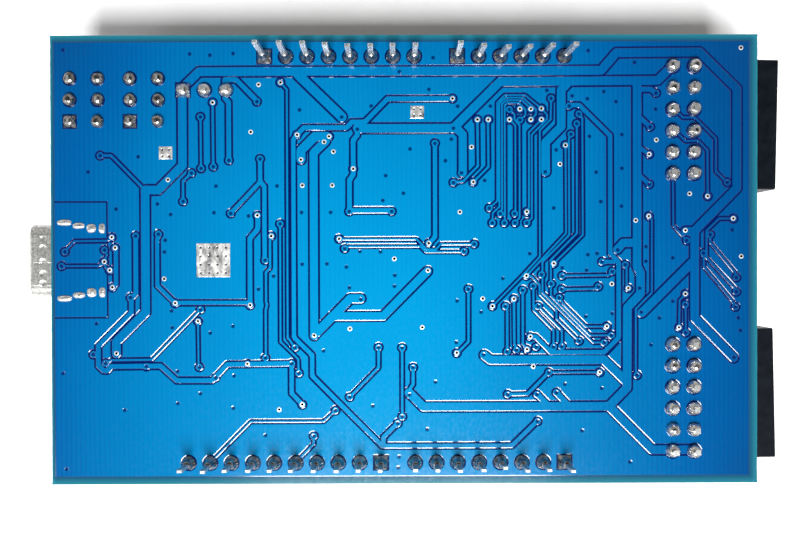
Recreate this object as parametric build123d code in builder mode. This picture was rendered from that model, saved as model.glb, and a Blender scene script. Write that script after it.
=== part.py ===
"""Controller board on two rows of shield sockets, lying solder side up on the mouths of those sockets.

+X runs from the USB socket to the two edge sockets, +Y from the digital row to the power row, and +Z
points out of the solder side. The origin is the middle of the rest plane, where the sockets' mouths lie.
"""

import os

from build123d import *

# ---- driving dimensions, in millimetres ----
PITCH = 2.54

BOARD_W = 84.0
BOARD_D = 53.34
BOARD_T = 1.6
MASK_T = 0.05
SOCKET_H = 8.5

COMPONENT_Z = SOCKET_H  # outer face of the component side, which looks down
SOLDER_Z = COMPONENT_Z + BOARD_T  # outer face of the solder side, which looks up

ROW_Y = 24.13  # half the distance between the shield rows
LAST_COLUMN_X = 19.0  # the column that both rows end on
DIGITAL_GAP = 4.064  # between the two digital sockets' nearest pins

USB_OVERHANG = 3.3  # how far the USB socket stands out past the board
EDGE_OVERHANG = 3.0  # the same for the edge sockets, before each one's own slip
EDGE_SLIP = {"upper": 0.15, "lower": -0.15}

HOLE_R = 0.5
PAD_R = 0.86
TAIL_X, TAIL_Y = 0.6, 0.4
POWER_ROW_TAIL = 4.3  # how far the tails stand out of the solder side
DIGITAL_ROW_TAIL = 3.4
SHORT_TAIL = 0.9

WELL = 1.0
SOCKET_D = 2.5
SOCKET_ROOF = 1.7

EDGE_PITCH_Y = 33.02  # between the middles of the two edge sockets
EDGE_COLUMN_X = 34.44  # the pin column nearer the board's edge
EDGE_BODY_D, EDGE_BODY_W, EDGE_BODY_H = 8.5, 15.7, 5.0
EDGE_HOLE_R = 0.55
EDGE_SKEW = 1.2  # degrees by which each edge socket was soldered out of square
WIRE = 0.64

USB_W, USB_H, USB_L, USB_WALL = 8.94, 3.26, 9.2, 0.3
USB_CORNER = 1.3

SWITCH_X = (-38.0, -30.85)
SWITCH_Y = 19.02
SWITCH_L, SWITCH_W, SWITCH_H = 9.0, 6.2, 3.5
SWITCH_ROW = 3.32  # between a switch's two rows of terminals
SWITCH_TRAVEL = 2.0

JUMPER_X, JUMPER_Y = -23.68, 20.17
JUMPER_H = 2.54

RESET_X, RESET_Y = -34.5, -17.5
RESET_TRAVEL = 0.25


def row(count, last_x, y):
    """Places of a row of pins that ends at last_x."""
    return [(last_x - PITCH * i, y) for i in range(count)]


POWER = row(8, LAST_COLUMN_X - 7 * PITCH, ROW_Y)
ANALOG = row(6, LAST_COLUMN_X, ROW_Y)
DIGITAL_LOW = row(8, LAST_COLUMN_X, -ROW_Y)
DIGITAL_HIGH = row(10, LAST_COLUMN_X - 7 * PITCH - DIGITAL_GAP, -ROW_Y)
SHIELD_ROWS = {
    "power": (POWER, POWER_ROW_TAIL, POWER[-1]),
    "analog": (ANALOG, POWER_ROW_TAIL, ANALOG[-1]),
    "digital_low": (DIGITAL_LOW, DIGITAL_ROW_TAIL, DIGITAL_LOW[0]),
    "digital_high": (DIGITAL_HIGH, DIGITAL_ROW_TAIL, DIGITAL_HIGH[0]),
}
SHIELD_PINS = POWER + ANALOG + DIGITAL_LOW + DIGITAL_HIGH

EDGE_Y = {"upper": EDGE_PITCH_Y / 2, "lower": -EDGE_PITCH_Y / 2}
EDGE_PINS = [
    (EDGE_COLUMN_X - column * PITCH, middle + (i - 2.5) * PITCH)
    for middle in EDGE_Y.values()
    for column in range(2)
    for i in range(6)
]
SWITCH_PINS = [
    (x + side * SWITCH_ROW / 2, SWITCH_Y + i * PITCH)
    for x in SWITCH_X
    for side in (-1, 1)
    for i in (-1, 0, 1)
]
JUMPER_PINS = [(JUMPER_X + i * PITCH, JUMPER_Y) for i in (-1, 0, 1)]
SQUARE_PADS = [pin_one for _, _, pin_one in SHIELD_ROWS.values()]
SQUARE_PADS += [(x - SWITCH_ROW / 2, SWITCH_Y - PITCH) for x in SWITCH_X]
SQUARE_PADS += [JUMPER_PINS[0]]

# Slots of the USB socket's shell: distance in from the board's edge, half the distance across, length, width.
USB_SLOTS = [
    (1.65, 4.5, 1.75, 0.75),
    (3.35, 4.12, 1.45, 0.75),
    (4.85, 3.82, 1.15, 1.1),
    (6.1, 3.78, 0.8, 1.2),
]
# Bare tinned pads on the solder side, under the parts that shed heat: x, y, length, width.
BRIDGE_X = -22.65
BRIDGE_PAD = 4.0
REGULATORS = [(-28.3, 12.75), (1.56, 17.5)]
REGULATOR_PAD_L, REGULATOR_PAD_W = 1.6, 1.5
TINNED_PADS = [(BRIDGE_X, 0, BRIDGE_PAD, BRIDGE_PAD)]
TINNED_PADS += [(x, y, REGULATOR_PAD_L, REGULATOR_PAD_W) for x, y in REGULATORS]
BOARD_LEFT = -BOARD_W / 2
BOARD_RIGHT = BOARD_W / 2
USB_SLOT_PLACES = [
    (BOARD_LEFT + inset, side * across, length, width)
    for inset, across, length, width in USB_SLOTS
    for side in (-1, 1)
]

os.makedirs("parts", exist_ok=True)


def save(part, name):
    """Labels one finished piece and writes it."""
    part.label = name
    export_step(part, f"parts/{name}.step")


def down(depth):
    """A plane below the component side, facing down, with its X axis along +X."""
    return Plane(origin=(0, 0, COMPONENT_Z - depth), x_dir=(1, 0, 0), z_dir=(0, 0, -1))


def under(*places):
    """The same places in the coordinates of a plane that faces down."""
    return [(x, -y) for x, y in places]


# ---- board: laminate between two skins of solder mask ----
def cut_pin_holes(pins, radius):
    """Takes round holes out of the sketch in hand."""
    with Locations(*pins):
        Circle(radius, mode=Mode.SUBTRACT)


def cut_usb_slots(grow=0.0):
    """Takes the shell's slots out of the sketch in hand."""
    for x, y, length, width in USB_SLOT_PLACES:
        corner = (min(length, width) + grow) * 0.499
        with Locations((x, y)):
            RectangleRounded(length + grow, width + grow, corner, mode=Mode.SUBTRACT)


with BuildPart() as board_laminate:
    with BuildSketch(Plane.XY.offset(COMPONENT_Z + MASK_T)):
        Rectangle(BOARD_W, BOARD_D)
        cut_pin_holes(SHIELD_PINS + SWITCH_PINS + JUMPER_PINS, HOLE_R)
        cut_pin_holes(EDGE_PINS, EDGE_HOLE_R)
        cut_usb_slots()
    extrude(amount=BOARD_T - 2 * MASK_T)
save(board_laminate.part, "board_laminate")

for name, level in (("solder_side_mask", SOLDER_Z - MASK_T), ("component_side_mask", COMPONENT_Z)):
    with BuildPart() as mask:
        with BuildSketch(Plane.XY.offset(level)):
            Rectangle(BOARD_W, BOARD_D)
            cut_pin_holes(SHIELD_PINS + SWITCH_PINS + JUMPER_PINS + EDGE_PINS, PAD_R + 0.12)
            with Locations(*SQUARE_PADS):
                Rectangle(2 * PAD_R + 0.12, 2 * PAD_R + 0.12, mode=Mode.SUBTRACT)
            cut_usb_slots(grow=0.12)
            if level > COMPONENT_Z:
                for x, y, length, width in TINNED_PADS:
                    with Locations((x, y)):
                        Rectangle(length, width, mode=Mode.SUBTRACT)
        extrude(amount=MASK_T)
    save(mask.part, name)

with BuildPart() as tinned_pads:
    with BuildSketch(Plane.XY.offset(SOLDER_Z - MASK_T)):
        for x, y, length, width in TINNED_PADS:
            with Locations((x, y)):
                Rectangle(length - 0.02, width - 0.02)
    extrude(amount=MASK_T - 0.01)
save(tinned_pads.part, "tinned_pads")


# ---- shield sockets: a black bar of square wells, and one contact with its tail in each ----
CONTACT_TOP = SOCKET_H - SOCKET_ROOF
for name, (pins, tail, _) in SHIELD_ROWS.items():
    middle_x = (pins[0][0] + pins[-1][0]) / 2
    row_y = pins[0][1]
    with BuildPart() as socket:
        with BuildSketch():
            with Locations((middle_x, row_y)):
                Rectangle(len(pins) * PITCH, SOCKET_D)
        extrude(amount=SOCKET_H)
        chamfer(socket.edges().filter_by(Axis.Z), 0.25)
        with BuildSketch():
            with Locations(*pins):
                Rectangle(WELL, WELL)
        extrude(amount=CONTACT_TOP, mode=Mode.SUBTRACT)
        with BuildSketch():
            with Locations(*pins):
                Rectangle(WELL + 0.6, WELL + 0.6)
        extrude(amount=0.3, taper=45, mode=Mode.SUBTRACT)
        with BuildSketch():
            with Locations(*pins):
                Rectangle(TAIL_X + 0.02, TAIL_Y + 0.02)
        extrude(amount=SOCKET_H, mode=Mode.SUBTRACT)
    save(socket.part, f"{name}_socket")

    with BuildPart() as contacts:
        with BuildSketch(Plane.XY.offset(CONTACT_TOP - 0.6)):
            with Locations(*pins):
                Rectangle(0.7, 0.96)
        extrude(amount=0.58)
        with BuildSketch(Plane.XY.offset(2.0)):
            for side in (-1, 1):
                with Locations(*[(x, y + side * 0.42) for x, y in pins]):
                    Rectangle(0.7, 0.12)
        extrude(amount=CONTACT_TOP - 2.3)
        with BuildSketch(Plane.XY.offset(CONTACT_TOP - 0.3)):
            with Locations(*pins):
                Rectangle(TAIL_X, TAIL_Y)
        extrude(amount=SOLDER_Z + tail - CONTACT_TOP + 0.3)
        chamfer(contacts.faces().filter_by(Plane.XY).group_by(Axis.Z)[-1].edges(), 0.12)
    save(contacts.part, f"{name}_contacts")


# ---- solder joints ----
def joint_profile(height, neck, pad=PAD_R, hole=HOLE_R - 0.01):
    """Half of a solder joint's section: the fill of the hole and the fillet that climbs the tail."""
    foot = SOLDER_Z - MASK_T
    with BuildLine() as outline:
        Polyline((0, COMPONENT_Z), (hole, COMPONENT_Z), (hole, foot), (pad, foot), (pad, foot + 0.06))
        ThreePointArc((pad, foot + 0.06), (pad * 0.66, foot + height * 0.36), (neck, foot + height))
        Polyline((neck, foot + height), (0, foot + height), (0, COMPONENT_Z))
    return outline.line


def solder_joints(pins, height, neck, cut_x, cut_y, hole=HOLE_R - 0.01):
    """A solder joint round each tail, with the tail's own room left open."""
    with BuildPart() as joint:
        with BuildSketch(Plane.XZ):
            with BuildLine():
                add(joint_profile(height, neck, hole=hole))
            make_face()
        revolve(axis=Axis.Z)
        with BuildSketch(Plane.XY.offset(COMPONENT_Z)):
            Rectangle(cut_x, cut_y)
        extrude(amount=BOARD_T + height + 1, mode=Mode.SUBTRACT)
    with BuildPart() as joints:
        with Locations(*pins):
            add(joint.part)
        squares = [pin for pin in pins if pin in SQUARE_PADS]
        if squares:
            with BuildSketch(Plane.XY.offset(SOLDER_Z - MASK_T)):
                with Locations(*squares):
                    Rectangle(2 * PAD_R, 2 * PAD_R)
            extrude(amount=0.1)
            with BuildSketch(Plane.XY.offset(COMPONENT_Z)):
                with Locations(*squares):
                    Rectangle(cut_x, cut_y)
            extrude(amount=BOARD_T + height + 1, mode=Mode.SUBTRACT)
    return joints.part


save(solder_joints(POWER + ANALOG, 1.15, 0.4, TAIL_X, TAIL_Y), "power_row_solder_joints")
save(solder_joints(DIGITAL_LOW + DIGITAL_HIGH, 1.15, 0.4, TAIL_X, TAIL_Y), "digital_row_solder_joints")
save(solder_joints(SWITCH_PINS, 0.62, 0.4, 0.3, 0.6), "switch_solder_joints")
save(solder_joints(JUMPER_PINS, 0.75, 0.46, WIRE, WIRE), "jumper_solder_joints")


# ---- edge sockets: twelve wells in two rows, with tails that turn up through the board ----
EDGE_FRONT = BOARD_RIGHT + EDGE_OVERHANG
EDGE_BACK = EDGE_FRONT - EDGE_BODY_D
EDGE_LEVELS = (COMPONENT_Z - 1.23, COMPONENT_Z - 1.23 - PITCH)
EDGE_BODY_Z = COMPONENT_Z - EDGE_BODY_H
EDGE_WELL_D = 6.6


def edge_places(level):
    """Middles of the wells on one level, in the sketch plane of the socket's front."""
    return [((i - 2.5) * PITCH, level) for i in range(6)]


with BuildPart() as edge_body:
    with BuildSketch(Plane.YZ.offset(EDGE_BACK)):
        with Locations((0, COMPONENT_Z - EDGE_BODY_H / 2)):
            Rectangle(EDGE_BODY_W, EDGE_BODY_H)
    extrude(amount=EDGE_BODY_D)
    chamfer(edge_body.edges().filter_by(Axis.X), 0.15)
    with BuildSketch(Plane.YZ.offset(EDGE_FRONT)):
        with Locations(*edge_places(EDGE_LEVELS[0]), *edge_places(EDGE_LEVELS[1])):
            Rectangle(WELL, WELL)
    extrude(amount=-EDGE_WELL_D, mode=Mode.SUBTRACT)
    with BuildSketch(Plane.YZ.offset(EDGE_FRONT)):
        with Locations(*edge_places(EDGE_LEVELS[0]), *edge_places(EDGE_LEVELS[1])):
            Rectangle(WELL + 0.5, WELL + 0.5)
    extrude(amount=-0.25, taper=45, mode=Mode.SUBTRACT)
    with BuildSketch(Plane.YZ.offset(EDGE_FRONT)):
        with Locations(*edge_places(EDGE_LEVELS[0]), *edge_places(EDGE_LEVELS[1])):
            Rectangle(WIRE + 0.02, WIRE + 0.02)
    extrude(amount=-EDGE_BODY_D, mode=Mode.SUBTRACT)

EDGE_CONTACT_X = EDGE_FRONT - EDGE_WELL_D


def edge_wire(level, column_x, tip):
    """One contact: a fork in its well and a square wire that runs back, turns up and passes the board."""
    with BuildPart() as wire:
        with BuildLine(Plane.XZ) as path:
            FilletPolyline(
                (EDGE_CONTACT_X + 0.8, level),
                (column_x, level),
                (column_x, tip),
                radius=0.6,
            )
        with BuildSketch(Plane(origin=path.line @ 0, z_dir=path.line % 0)):
            Rectangle(WIRE, WIRE)
        sweep()
        for side in (-1, 1):
            with BuildSketch(Plane.YZ.offset(EDGE_CONTACT_X + 0.2)):
                with Locations((side * 0.42, level)):
                    Rectangle(0.12, 0.7)
            extrude(amount=4.6)
        with BuildSketch(Plane.YZ.offset(EDGE_CONTACT_X + 0.2)):
            with Locations((0, level)):
                Rectangle(0.96, 0.7)
        extrude(amount=0.6)
    return wire.part


edge_wires = [
    edge_wire(EDGE_LEVELS[0], EDGE_COLUMN_X, SOLDER_Z + SHORT_TAIL),
    edge_wire(EDGE_LEVELS[1], EDGE_COLUMN_X - PITCH, SOLDER_Z + SHORT_TAIL),
]
with BuildPart() as edge_contacts:
    for wire in edge_wires:
        with Locations(*[(0, (i - 2.5) * PITCH, 0) for i in range(6)]):
            add(wire)

PIN_MIDDLE_X = EDGE_COLUMN_X - PITCH / 2
edge_tails = {}
for name, middle in EDGE_Y.items():
    turn = -EDGE_SKEW if middle > 0 else EDGE_SKEW
    place = Pos(PIN_MIDDLE_X, middle, 0) * Rot(0, 0, turn) * Pos(-PIN_MIDDLE_X, 0, 0)
    save(place * Pos(EDGE_SLIP[name], 0, 0) * edge_body.part, f"{name}_edge_socket")
    edge_tails[name] = place * edge_contacts.part
    save(edge_tails[name], f"{name}_edge_contacts")

edge_joints = solder_joints(EDGE_PINS, 0.85, 0.5, 0.3, 0.3, hole=EDGE_HOLE_R - 0.01)
for tails in edge_tails.values():
    edge_joints = edge_joints - tails
save(edge_joints, "edge_solder_joints")


# ---- USB socket ----
USB_FRONT = BOARD_LEFT - USB_OVERHANG
USB_TOP = COMPONENT_Z
USB_MIDDLE_Z = USB_TOP - USB_H / 2
USB_PLANE = Plane(origin=(USB_FRONT, 0, USB_MIDDLE_Z), x_dir=(0, 1, 0), z_dir=(1, 0, 0))

USB_TAB_TOP = COMPONENT_Z + 0.8 * BOARD_T
USB_BACK_PLUG = 2.2
USB_TONGUE_GAP = 1.1

with BuildPart() as usb_shell:
    with BuildSketch(USB_PLANE):
        RectangleRounded(USB_W, USB_H, USB_CORNER)
    extrude(amount=USB_L)
    with BuildSketch(USB_PLANE):
        RectangleRounded(USB_W - 2 * USB_WALL, USB_H - 2 * USB_WALL, USB_CORNER - USB_WALL)
    extrude(amount=USB_L - USB_WALL, mode=Mode.SUBTRACT)
    # dimples pressed into the side that faces the board, and the seam where the sheet's edges meet
    with Locations(*[(USB_FRONT + 1.6, y, USB_TOP + 0.28) for y in (-2.75, -1.6, 0, 1.6, 2.75)]):
        Sphere(0.42, mode=Mode.SUBTRACT)
    with Locations((USB_FRONT + 0.6, -0.28, USB_TOP)):
        Box(0.9, 0.08, 0.12, mode=Mode.SUBTRACT)
    # two tabs that stand up into the front slots
    with BuildSketch(Plane.XY.offset(USB_MIDDLE_Z)):
        for x, y, length, _ in USB_SLOT_PLACES[:2]:
            side = 1 if y > 0 else -1
            with Locations((x, side * (USB_W / 2 - USB_WALL / 2))):
                Rectangle(length * 0.7, USB_WALL)
    extrude(amount=USB_TAB_TOP - USB_MIDDLE_Z)
save(usb_shell.part, "usb_shell")

with BuildPart() as usb_insert:
    with BuildSketch(USB_PLANE.offset(USB_L - USB_WALL - USB_BACK_PLUG)):
        RectangleRounded(USB_W - 2 * USB_WALL - 0.04, USB_H - 2 * USB_WALL - 0.04, USB_CORNER - USB_WALL)
    extrude(amount=USB_BACK_PLUG - 0.02)
    with BuildSketch(USB_PLANE.offset(USB_TONGUE_GAP)):
        Rectangle(6.69, 0.7)
    extrude(amount=USB_L - USB_WALL - USB_BACK_PLUG - USB_TONGUE_GAP + 0.2)
    fillet(usb_insert.faces().sort_by(Axis.X)[0].edges(), 0.15)
save(usb_insert.part, "usb_insert")

with BuildPart() as usb_contacts:
    with BuildSketch(USB_PLANE.offset(USB_TONGUE_GAP + 0.4)):
        for side in (-1, 1):
            with Locations(*[((i - 5.5) * 0.5, side * 0.4) for i in range(12)]):
                Rectangle(0.25, 0.1)
    extrude(amount=5.0)
save(usb_contacts.part, "usb_contacts")

with BuildPart() as usb_joints:
    for n, (x, y, length, width) in enumerate(USB_SLOT_PLACES):
        foot = USB_TAB_TOP + 0.02 if n < 2 else COMPONENT_Z
        with BuildSketch(Plane.XY.offset(foot)):
            with Locations((x, y)):
                RectangleRounded(length - 0.02, width - 0.02, (min(length, width) - 0.02) * 0.499)
        extrude(amount=SOLDER_Z + 0.16 - foot)
    chamfer(usb_joints.faces().filter_by(Plane.XY).group_by(Axis.Z)[-1].edges(), 0.1)
save(usb_joints.part, "usb_solder_joints")


# ---- slide switches: base, sheet cover with a window, slider, six terminals ----
SWITCH_BASE_H = 1.6
COVER_T = 0.3
PLATE_DEPTH, PLATE_T = 2.0, 0.9  # the slider's wide part, between the base and the cover
WINDOW_L, WINDOW_W = 4.4, 1.7
SLIDER_L, SLIDER_W, SLIDER_H = 2.0, 1.1, 3.4

with BuildPart() as switch_bases:
    with BuildSketch(down(0.1)):
        with Locations(*under(*[(x, SWITCH_Y) for x in SWITCH_X])):
            Rectangle(SWITCH_W - 2 * COVER_T - 0.04, SWITCH_L - 0.04)
    extrude(amount=SWITCH_BASE_H)
save(switch_bases.part, "switch_bases")

with BuildPart() as switch_terminals:
    with BuildSketch(Plane.XY.offset(COMPONENT_Z + 0.12)):
        with Locations(*SWITCH_PINS):
            Rectangle(0.3, 0.6)
    extrude(amount=BOARD_T + SHORT_TAIL - 0.42)
    with BuildSketch(Plane.XY.offset(COMPONENT_Z - 0.1)):
        with Locations(*SWITCH_PINS):
            Rectangle(0.3, 0.6)
    extrude(amount=0.22)
save(switch_terminals.part, "switch_terminals")

for letter, x in zip("ab", SWITCH_X):
    with BuildPart() as cover:
        with BuildSketch(down(0.1)):
            with Locations(*under((x, SWITCH_Y))):
                Rectangle(SWITCH_W, SWITCH_L)
        extrude(amount=SWITCH_H - 0.1)
        with BuildSketch(down(0.1)):
            with Locations(*under((x, SWITCH_Y))):
                Rectangle(SWITCH_W - 2 * COVER_T, SWITCH_L)
        extrude(amount=SWITCH_H - 0.1 - COVER_T, mode=Mode.SUBTRACT)
        fillet(cover.faces().sort_by(Axis.Z)[0].edges().filter_by(Axis.Y), 0.25)
        with BuildSketch(down(0)):
            with Locations(*under((x, SWITCH_Y))):
                Rectangle(WINDOW_W, WINDOW_L)
        extrude(amount=SWITCH_H, mode=Mode.SUBTRACT)
    save(cover.part, f"switch_{letter}_cover")

    rest = (x, SWITCH_Y - SWITCH_TRAVEL / 2)
    with BuildPart() as slider:
        with BuildSketch(down(PLATE_DEPTH)):
            with Locations(*under(rest)):
                Rectangle(4.4, 4.6)
        extrude(amount=PLATE_T)
        with BuildSketch(down(PLATE_DEPTH + PLATE_T - 0.1)):
            with Locations(*under(rest)):
                Rectangle(SLIDER_W, SLIDER_L)
        extrude(amount=SLIDER_H)
        fillet(slider.faces().sort_by(Axis.Z)[0].edges(), 0.2)
    save(slider.part, f"switch_{letter}_slider")


# ---- jumper: three-pin header and its shunt ----
PIN_END = 0.3
with BuildPart() as jumper_base:
    with BuildSketch(down(0)):
        with Locations(*under(*JUMPER_PINS)):
            Rectangle(PITCH, JUMPER_H)
    extrude(amount=JUMPER_H)
    chamfer(jumper_base.edges().filter_by(Axis.Z), 0.3)
    with BuildSketch(down(0)):
        with Locations(*under(*JUMPER_PINS)):
            Rectangle(WIRE, WIRE)
    extrude(amount=JUMPER_H, mode=Mode.SUBTRACT)
save(jumper_base.part, "jumper_base")

with BuildPart() as jumper_pins:
    with BuildSketch(Plane.XY.offset(PIN_END)):
        with Locations(*JUMPER_PINS):
            Rectangle(WIRE, WIRE)
    extrude(amount=SOLDER_Z + SHORT_TAIL - PIN_END)
    chamfer(jumper_pins.faces().filter_by(Plane.XY).edges(), 0.14)
save(jumper_pins.part, "jumper_pins")

SHUNT_TOP = COMPONENT_Z - JUMPER_H - 0.3
SHUNT_H = 4.8
SHUNT_PINS = JUMPER_PINS[:2]
SHUNT_X = (SHUNT_PINS[0][0] + SHUNT_PINS[1][0]) / 2
SHUNT_PLANE = Plane.XY.offset(SHUNT_TOP - SHUNT_H)
with BuildPart() as shunt_housing:
    with BuildSketch(SHUNT_PLANE):
        with Locations((SHUNT_X, JUMPER_Y)):
            RectangleRounded(2 * PITCH - 0.1, 2.4, 0.3)
    extrude(amount=SHUNT_H)
    with BuildSketch(SHUNT_PLANE):
        with Locations((SHUNT_X, JUMPER_Y)):
            Rectangle(PITCH + WIRE + 0.6, WIRE + 0.6)
    extrude(amount=SHUNT_H, mode=Mode.SUBTRACT)
    with Locations((SHUNT_X, JUMPER_Y, SHUNT_TOP - SHUNT_H / 2)):
        Box(0.8, WIRE + 0.6, SHUNT_H)
save(shunt_housing.part, "shunt_housing")

with BuildPart() as shunt_clip:
    with BuildSketch(SHUNT_PLANE.offset(1.0)):
        for side in (-1, 1):
            with Locations(*[(x, y + side * (WIRE / 2 + 0.14)) for x, y in SHUNT_PINS]):
                Rectangle(0.7, 0.2)
    extrude(amount=SHUNT_H - 1.4)
save(shunt_clip.part, "shunt_clips")


# ---- reset button ----
BUTTON_W, BUTTON_H = 6.0, 3.4
with BuildPart() as reset_body:
    with BuildSketch(down(0.05)):
        with Locations(*under((RESET_X, RESET_Y))):
            RectangleRounded(BUTTON_W, BUTTON_W, 0.4)
    extrude(amount=BUTTON_H - 0.3)
    with BuildSketch(down(1.4)):
        with Locations(*under((RESET_X, RESET_Y))):
            Circle(2.3)
    extrude(amount=BUTTON_H, mode=Mode.SUBTRACT)
save(reset_body.part, "reset_button_body")

with BuildPart() as reset_cover:
    with BuildSketch(down(BUTTON_H - 0.25)):
        with Locations(*under((RESET_X, RESET_Y))):
            RectangleRounded(BUTTON_W, BUTTON_W, 0.4)
            Circle(1.85, mode=Mode.SUBTRACT)
    extrude(amount=0.25)
save(reset_cover.part, "reset_button_cover")

with BuildPart() as reset_plunger:
    with BuildSketch(down(2.0)):
        with Locations(*under((RESET_X, RESET_Y))):
            Circle(2.1)
    extrude(amount=BUTTON_H - 0.25 - 0.1 - 2.0)
    with BuildSketch(down(2.0)):
        with Locations(*under((RESET_X, RESET_Y))):
            Circle(1.7)
    extrude(amount=BUTTON_H + 1.2 - 2.0)
    fillet(reset_plunger.faces().sort_by(Axis.Z)[0].edges(), 0.25)
save(reset_plunger.part, "reset_button_plunger")


# ---- chips: moulded bodies and bent leads ----
def chip_body(x, y, size_x, size_y, height, standoff=0.1, edge=0.2):
    """A moulded body hanging from the component side, with its lower edges eased."""
    with BuildPart() as body:
        with BuildSketch(down(standoff)):
            with Locations(*under((x, y))):
                Rectangle(size_x, size_y)
        extrude(amount=height)
        chamfer(body.faces().sort_by(Axis.Z)[0].edges(), edge)
    return body.part


def lead(reach, drop, width, thickness=0.13):
    """A gull-wing lead that leaves a body's side at x = 0 and lands on the board."""
    foot = COMPONENT_Z
    with BuildPart() as made:
        with BuildSketch(Plane.XZ):
            with BuildLine():
                Polyline(
                    (0, foot - drop),
                    (reach * 0.35, foot - drop),
                    (reach * 0.5, foot - thickness),
                    (reach, foot - thickness),
                    (reach, foot),
                    (reach * 0.38, foot),
                    (reach * 0.25, foot - drop + thickness),
                    (0, foot - drop + thickness),
                    close=True,
                )
            make_face()
        extrude(amount=width / 2, both=True)
    return made.part


def leads(x, y, half_x, half_y, per_x_side, per_y_side, pitch, one):
    """Leads along the sides of a body: per_x_side on the two sides that face X, per_y_side on the others."""
    made = []
    for quarter in range(4):
        count, half = (per_y_side, half_y) if quarter % 2 else (per_x_side, half_x)
        side = Pos(x, y, 0) * Rot(0, 0, 90 * quarter)
        made += [side * Pos(half, (i - (count - 1) / 2) * pitch, 0) * one for i in range(count)]
    return Compound(children=made)


CONTROLLER_X, CONTROLLER_Y, CONTROLLER_SIDE = 2.0, -1.0, 20.0
save(chip_body(CONTROLLER_X, CONTROLLER_Y, CONTROLLER_SIDE, CONTROLLER_SIDE, 1.4), "controller_chip")
half_side = CONTROLLER_SIDE / 2
controller_lead = lead(1.0, 0.85, 0.22)
controller_leads = leads(CONTROLLER_X, CONTROLLER_Y, half_side, half_side, 36, 36, 0.5, controller_lead)
save(controller_leads, "controller_leads")

MEMORY_X, MEMORY_Y = 22.5, -1.5
save(chip_body(MEMORY_X, MEMORY_Y, 10.16, 18.4, 1.0), "memory_chip")
save(leads(MEMORY_X, MEMORY_Y, 5.08, 9.2, 22, 0, 0.8, lead(0.8, 0.6, 0.32)), "memory_leads")

FLASH_X, FLASH_Y = -15.5, -12.5
save(chip_body(FLASH_X, FLASH_Y, 3.9, 4.9, 1.5), "flash_chip")
save(leads(FLASH_X, FLASH_Y, 1.95, 2.45, 4, 0, 1.27, lead(1.0, 0.9, 0.42)), "flash_leads")

save(leads(RESET_X, RESET_Y, BUTTON_W / 2, 0, 2, 0, 4.5, lead(1.1, 0.9, 0.7, 0.2)), "reset_button_terminals")
save(chip_body(BRIDGE_X, 0, 9.0, 9.0, 0.85, standoff=0, edge=0.08), "usb_bridge_chip")

INDUCTORS = [(-21.5, 13.0), (7.4, 17.4)]
OSCILLATORS = [(-31.2, -8.5), (-14.6, 9.4)]
BULK_CAPACITORS = [(-15.5, 16.5), (-34.2, 9.2), (28.6, 13.0), (28.6, -16.5)]
for name, places, size_x, size_y, height, edge in (
    ("regulator_chips", REGULATORS, 3.0, 3.0, 0.9, 0.08),
    ("inductors", INDUCTORS, 4.0, 4.0, 2.0, 0.2),
    ("oscillator_cans", OSCILLATORS, 3.2, 2.5, 0.9, 0.12),
    ("bulk_capacitors", BULK_CAPACITORS, 3.2, 2.7, 1.9, 0.15),
):
    bodies = [chip_body(x, y, size_x, size_y, height, standoff=0, edge=edge) for x, y in places]
    save(Compound(children=bodies), name)

# Small two-ended chips on the component side, as (x, y, turned).
BANK_PITCH = 3.4
CAPACITORS = [(-30.0, 1.5, True), (-30.0, -1.5, True)]
for side in (-1, 1):
    CAPACITORS += [(CONTROLLER_X + BANK_PITCH * i, CONTROLLER_Y + 13.6 * side, False) for i in range(-3, 4)]
    CAPACITORS += [(BRIDGE_X + 2.6 * i, 7.0 * side, False) for i in (-1, 0, 1)]
RESISTORS = [(-12.2, 6.0 - 2.4 * i, True) for i in range(5)]
RESISTORS += [(30.4, 5.0 - 2.0 * i, False) for i in range(5)]
RESISTORS += [(-12.0 + 2.6 * i, -18.6, True) for i in range(9)]
RESISTORS += [(15.2, 17.2, True)]
LAMPS = [(20.0 + 2.6 * i, 18.6, True) for i in range(4)]
CHIP_L, CHIP_W, CHIP_H, CHIP_END = 1.6, 0.8, 0.55, 0.3


def chip_places(items, offset=0.0):
    """Sketch places and turns of small two-ended chips, each shifted along its own length by offset."""
    return [
        Location((x + (0 if turned else offset), -y - (offset if turned else 0)), 90 if turned else 0)
        for x, y, turned in items
    ]


for name, items, height in (
    ("ceramic_capacitors", CAPACITORS, CHIP_H + 0.2),
    ("resistors", RESISTORS, CHIP_H - 0.1),
    ("status_lamps", LAMPS, CHIP_H),
):
    with BuildPart() as chips:
        with BuildSketch(down(0)):
            with Locations(*chip_places(items)):
                Rectangle(CHIP_L - 2 * CHIP_END, CHIP_W)
        extrude(amount=height)
    save(chips.part, name)

with BuildPart() as ends:
    with BuildSketch(down(0)):
        for side in (-1, 1):
            shift = side * (CHIP_L / 2 - CHIP_END / 2)
            with Locations(*chip_places(CAPACITORS + RESISTORS + LAMPS, shift)):
                Rectangle(CHIP_END, CHIP_W + 0.02)
    extrude(amount=CHIP_H + 0.12)
save(ends.part, "chip_end_caps")
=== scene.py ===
import math
import random

import bpy
import numpy as np
from mathutils import Matrix, Vector, geometry, noise


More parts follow.
